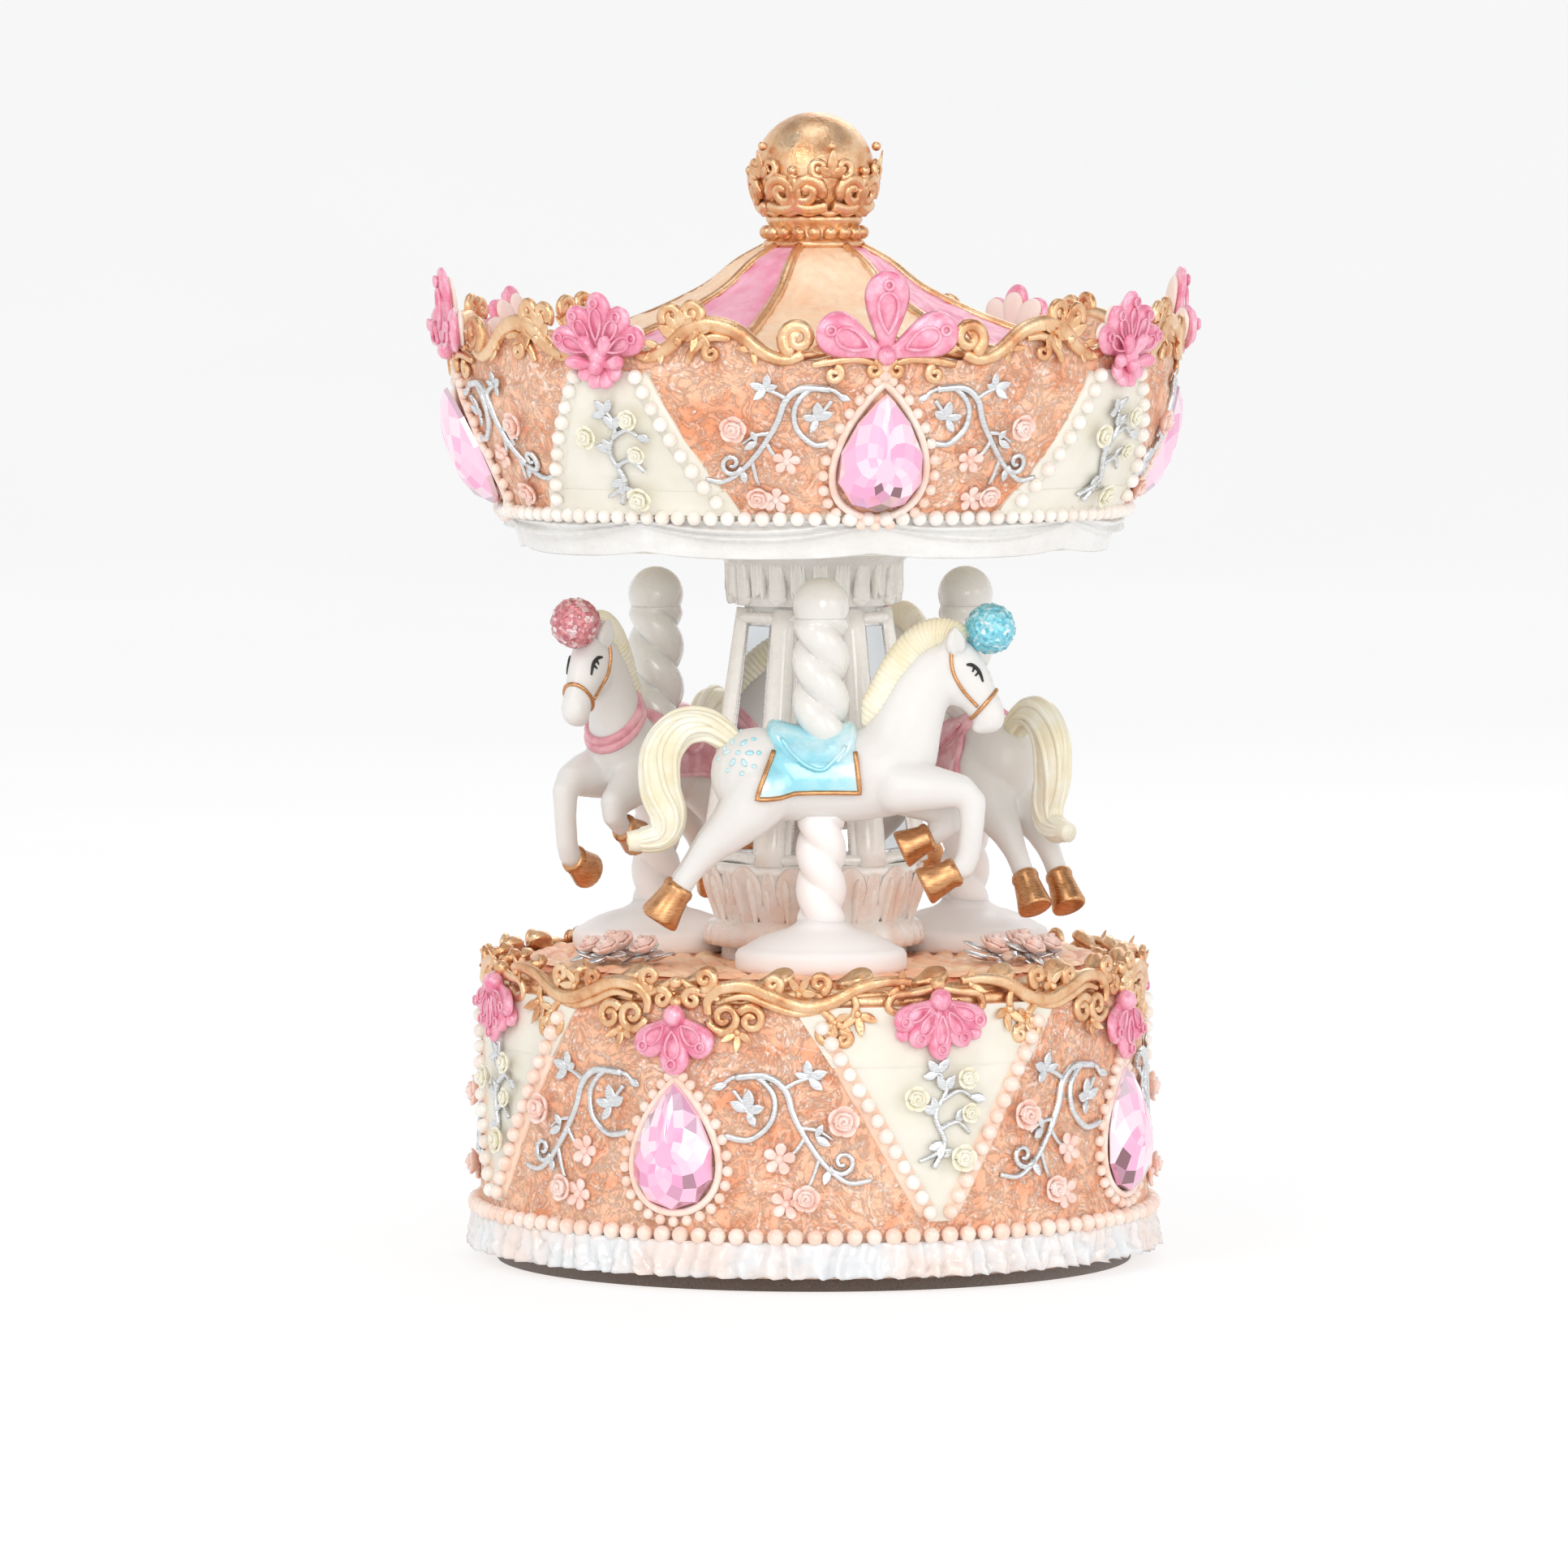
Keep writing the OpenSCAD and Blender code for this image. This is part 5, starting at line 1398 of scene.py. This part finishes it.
def mane_and_tail(shape, hair):
    """A ribbed crest from the brow to the withers, and a tail of flowing strands."""
    crest = curve([(6.2, 83.6), (8.6, 87.6), (10.8, 91.8), (13.6, 95.4), (16.8, 97.2), (19.8, 96.9),
                   (22.2, 95.2)], 30)
    n = len(crest) - 1
    rows = []
    for i, (x, z) in enumerate(crest):
        (x0, z0), (x1, z1) = crest[max(i - 1, 0)], crest[min(i + 1, n)]
        along = Vector((x1 - x0, 0, z1 - z0)).normalized()
        out = Vector((-along.z, 0, along.x))
        ends = min(1.0, 0.25 + 2.2 * sin(pi * i / n))
        rib = 0.22 * abs(sin(pi * i / n * 34)) ** 0.7
        tall, wide = (2.2 + rib) * ends, (1.5 + rib * 1.2) * ends
        rows.append([Vector((x, 0, z)) - out * 0.5 + out * (tall * sin(a)) + SIDEWAYS * (wide * cos(a))
                     - along * (0.5 * abs(cos(a))) for a in around(20)])
    shape.grid(rows, hair, ring=True, caps=True)
    line = [Vector((x, 0, z)) for x, z in curve([(-13.4, 80.6), (-17.2, 83.0), (-21.2, 82.6), (-24.0, 79.0),
                                                 (-24.2, 73.8), (-23.0, 69.4), (-24.2, 66.4), (-29.0, 65.6)])]
    m = len(line) - 1
    shape.tube([(p, SIDEWAYS) for p in line], lambda t: 1.3 + 0.96 * tail_width(t), hair, sides=14, wide=1.15)
    for k, a in enumerate(around(13)):
        path = []
        for i, p in enumerate(line):
            across = (line[min(i + 1, m)] - line[max(i - 1, 0)]).cross(SIDEWAYS).normalized()
            t = i / m
            spread = (1.2 + tail_width(t)) * (1 if t < 0.93 else (1 - t) / 0.07 * 0.9 + 0.1)
            turn = a + 0.5 * sin(t * 5 + k)
            side = across * (spread * 1.12 * cos(turn)) + SIDEWAYS * (spread * sin(turn))
            path.append((p + side, side.normalized()))
        shape.tube(path, lambda t: 0.62 * (1 - 0.45 * t), hair, sides=7)


def hoof(shape, place, direction, length, mat):
    """A bell-shaped hoof with a ridge at its top."""
    root, d = Vector(place), Vector(direction).normalized()
    other = d.cross(SIDEWAYS).normalized()
    profile = ((-0.06, 1.5), (0.0, 2.0), (0.1, 2.15), (0.22, 2.0), (0.6, 2.35), (0.9, 2.7), (0.97, 2.6),
               (1.0, 2.2))
    shape.grid([[root + d * (length * t) + SIDEWAYS * (r * cos(a) * 0.95) + other * (r * sin(a) * 1.08)
                 for a in around(18)] for t, r in profile], mat, ring=True, caps=True)


def pompon(shape, centre, r, mat, seed):
    """A ball of rough glitter."""
    start = len(shape.verts)
    shape.ball(centre, r, mat, 56)
    for i, v in enumerate(shape.verts[start:], start):
        rough = noise.noise(v * 1.9 + Vector((seed, 0, 0))) * 0.3 + noise.noise(v * 4.2) * 0.2
        shape.verts[i] = centre + (v - centre).normalized() * (r + rough)


def rump_spots(shape, skin, mat):
    """A flower of pearl drops on each side of the rump: a middle, an inner ring and an outer one."""
    x0, z0 = -12.6, 79.2
    places = [(0, 0)] + [(r * cos(a), r * sin(a)) for r, n in ((1.7, 6), (3.1, 9)) for a in around(n)]
    for k, (dx, dz) in enumerate(places):
        for side in SIDES:
            p, n = skin.side(x0 + dx, z0 + dz, side, 0.02)
            along = Vector((dx, 0, dz)) if k else Vector((1, 0, 0))
            across = n.cross(along).normalized()
            stretch = 1.8 if 0 < k < 7 else 1.0
            shape.ball(p, 0.4, mat, 8, (1, stretch, 0.4), (across, across.cross(n), n))


def make_horses():
    """Three horses from one mould: the first in blue with spots, the others in rose with a breast band."""
    verts, faces = horse_skin()
    skin = Skin(verts, faces)
    for i, az in enumerate(HORSE_TURNS, 1):
        blue = i == 1
        horse = Shape()
        horse.add(verts, faces)
        for row in HOOVES:
            hoof(horse, *row, 2)
        mane_and_tail(horse, 1)
        harness(horse, skin, 2, 3)
        saddle(horse, skin, 4, 2 if blue else 4)
        if blue:
            rump_spots(horse, skin, 4)
        else:
            lean = Vector((0.62, 0, 0.78))
            for shift in (-0.55, 0.55):
                band = skin.belt(Vector((12.8, 0, 82.2)) + lean * shift, lean.cross(SIDEWAYS), 32, 0.15)
                horse.tube(band, 0.5, 4, sides=7, closed=True, wide=1.5)
        pompon(horse, Vector((25.4, 0, 97.5)), 3.75, 5, i * 3.1)
        spin = Matrix.Rotation(radians(az), 3, "Z")
        horse.verts = [spin @ (v + Vector((0, -POLE_RING, 0))) for v in horse.verts]
        paints = [HORSE_WHITE, HAIR, HOOF, LASH, BLUE if blue else RED, BLUE_GLITTER if blue else RED_GLITTER]
        horse.build(f"horse_{i}_figure", "carousel", paints, "horse_white", [f"horse_{i}"])


# -------- stage, light, camera

def make_stage():
    """A pale round floor that curves up far from the object."""
    shape = Shape()
    shape.lathe(curve([(0.001, 0.0), (400, 0.0), (1800, 0.0), (2300, 40), (2700, 220), (2950, 600),
                       (3000, 1400), (3000, 2600)], 6))
    mesh = bpy.data.meshes.new("floor")
    mesh.from_pydata([v * MM for v in shape.verts], [], shape.faces)
    m = Nodes("pale_floor", Roughness=0.9, Emission_Strength=0.69, Emission_Color=(1, 1, 1, 1))
    pale = m.ramp(m.noise(4.0), (0.3, (0.30, 0.30, 0.30)), (0.7, (0.32, 0.32, 0.32)))
    mesh.materials.append(m.finish(pale))
    mesh.polygons.foreach_set("use_smooth", [True] * len(mesh.polygons))
    floor = bpy.data.objects.new("floor", mesh)
    bpy.context.scene.collection.objects.link(floor)


def aim(name, data, place, target):
    """A light or camera in the scene that looks at a target; both places are in metres."""
    obj = bpy.data.objects.new(name, data)
    obj.location = place
    obj.rotation_euler = (Vector(target) - obj.location).to_track_quat("-Z", "Y").to_euler()
    bpy.context.scene.collection.objects.link(obj)
    return obj


def area_light(name, place, target, size, power, color=(1, 1, 1)):
    light = bpy.data.lights.new(name, "AREA")
    light.energy = power
    light.size = size
    light.color = color
    aim(name, light, place, target)


# The camera's place and aim in metres, and its focal length in millimetres.
EYE_X, EYE_AWAY, EYE_Z, AIM_Z = -0.0046, 1.45, 0.166, 0.0724
LENS = 218


def make_light_and_camera():
    scene = bpy.context.scene
    world = bpy.data.worlds.new("studio")
    world.use_nodes = True
    sky = world.node_tree.nodes["Background"].inputs
    sky["Color"].default_value = (0.95, 0.97, 1.0, 1)
    sky["Strength"].default_value = 0.34
    scene.world = world
    area_light("key", (-0.55, -1.0, 0.95), (0, 0, 0.07), 0.5, 3.7, (1.0, 0.99, 0.97))
    area_light("front", (0.15, -1.3, 0.36), (0, 0, 0.06), 0.5, 3.0)
    area_light("fill", (1.0, -0.8, 0.4), (0, 0, 0.08), 0.6, 1.6)
    area_light("rim", (0.25, 1.0, 0.8), (0, 0, 0.1), 0.6, 1.8)
    area_light("top", (0.0, -0.1, 1.2), (0, 0, 0.1), 0.7, 2.0)
    scene.view_settings.view_transform = "Standard"

    camera = bpy.data.cameras.new("camera")
    camera.lens = LENS
    camera.sensor_width = 36
    camera.clip_end = 20
    scene.camera = aim("camera", camera, (EYE_X, -EYE_AWAY, EYE_Z), (EYE_X, 0, AIM_Z))


make_stage()
make_light_and_camera()
make_base()
make_deck()
make_column()
make_canopy()
make_finial()
make_poles()
make_horses()
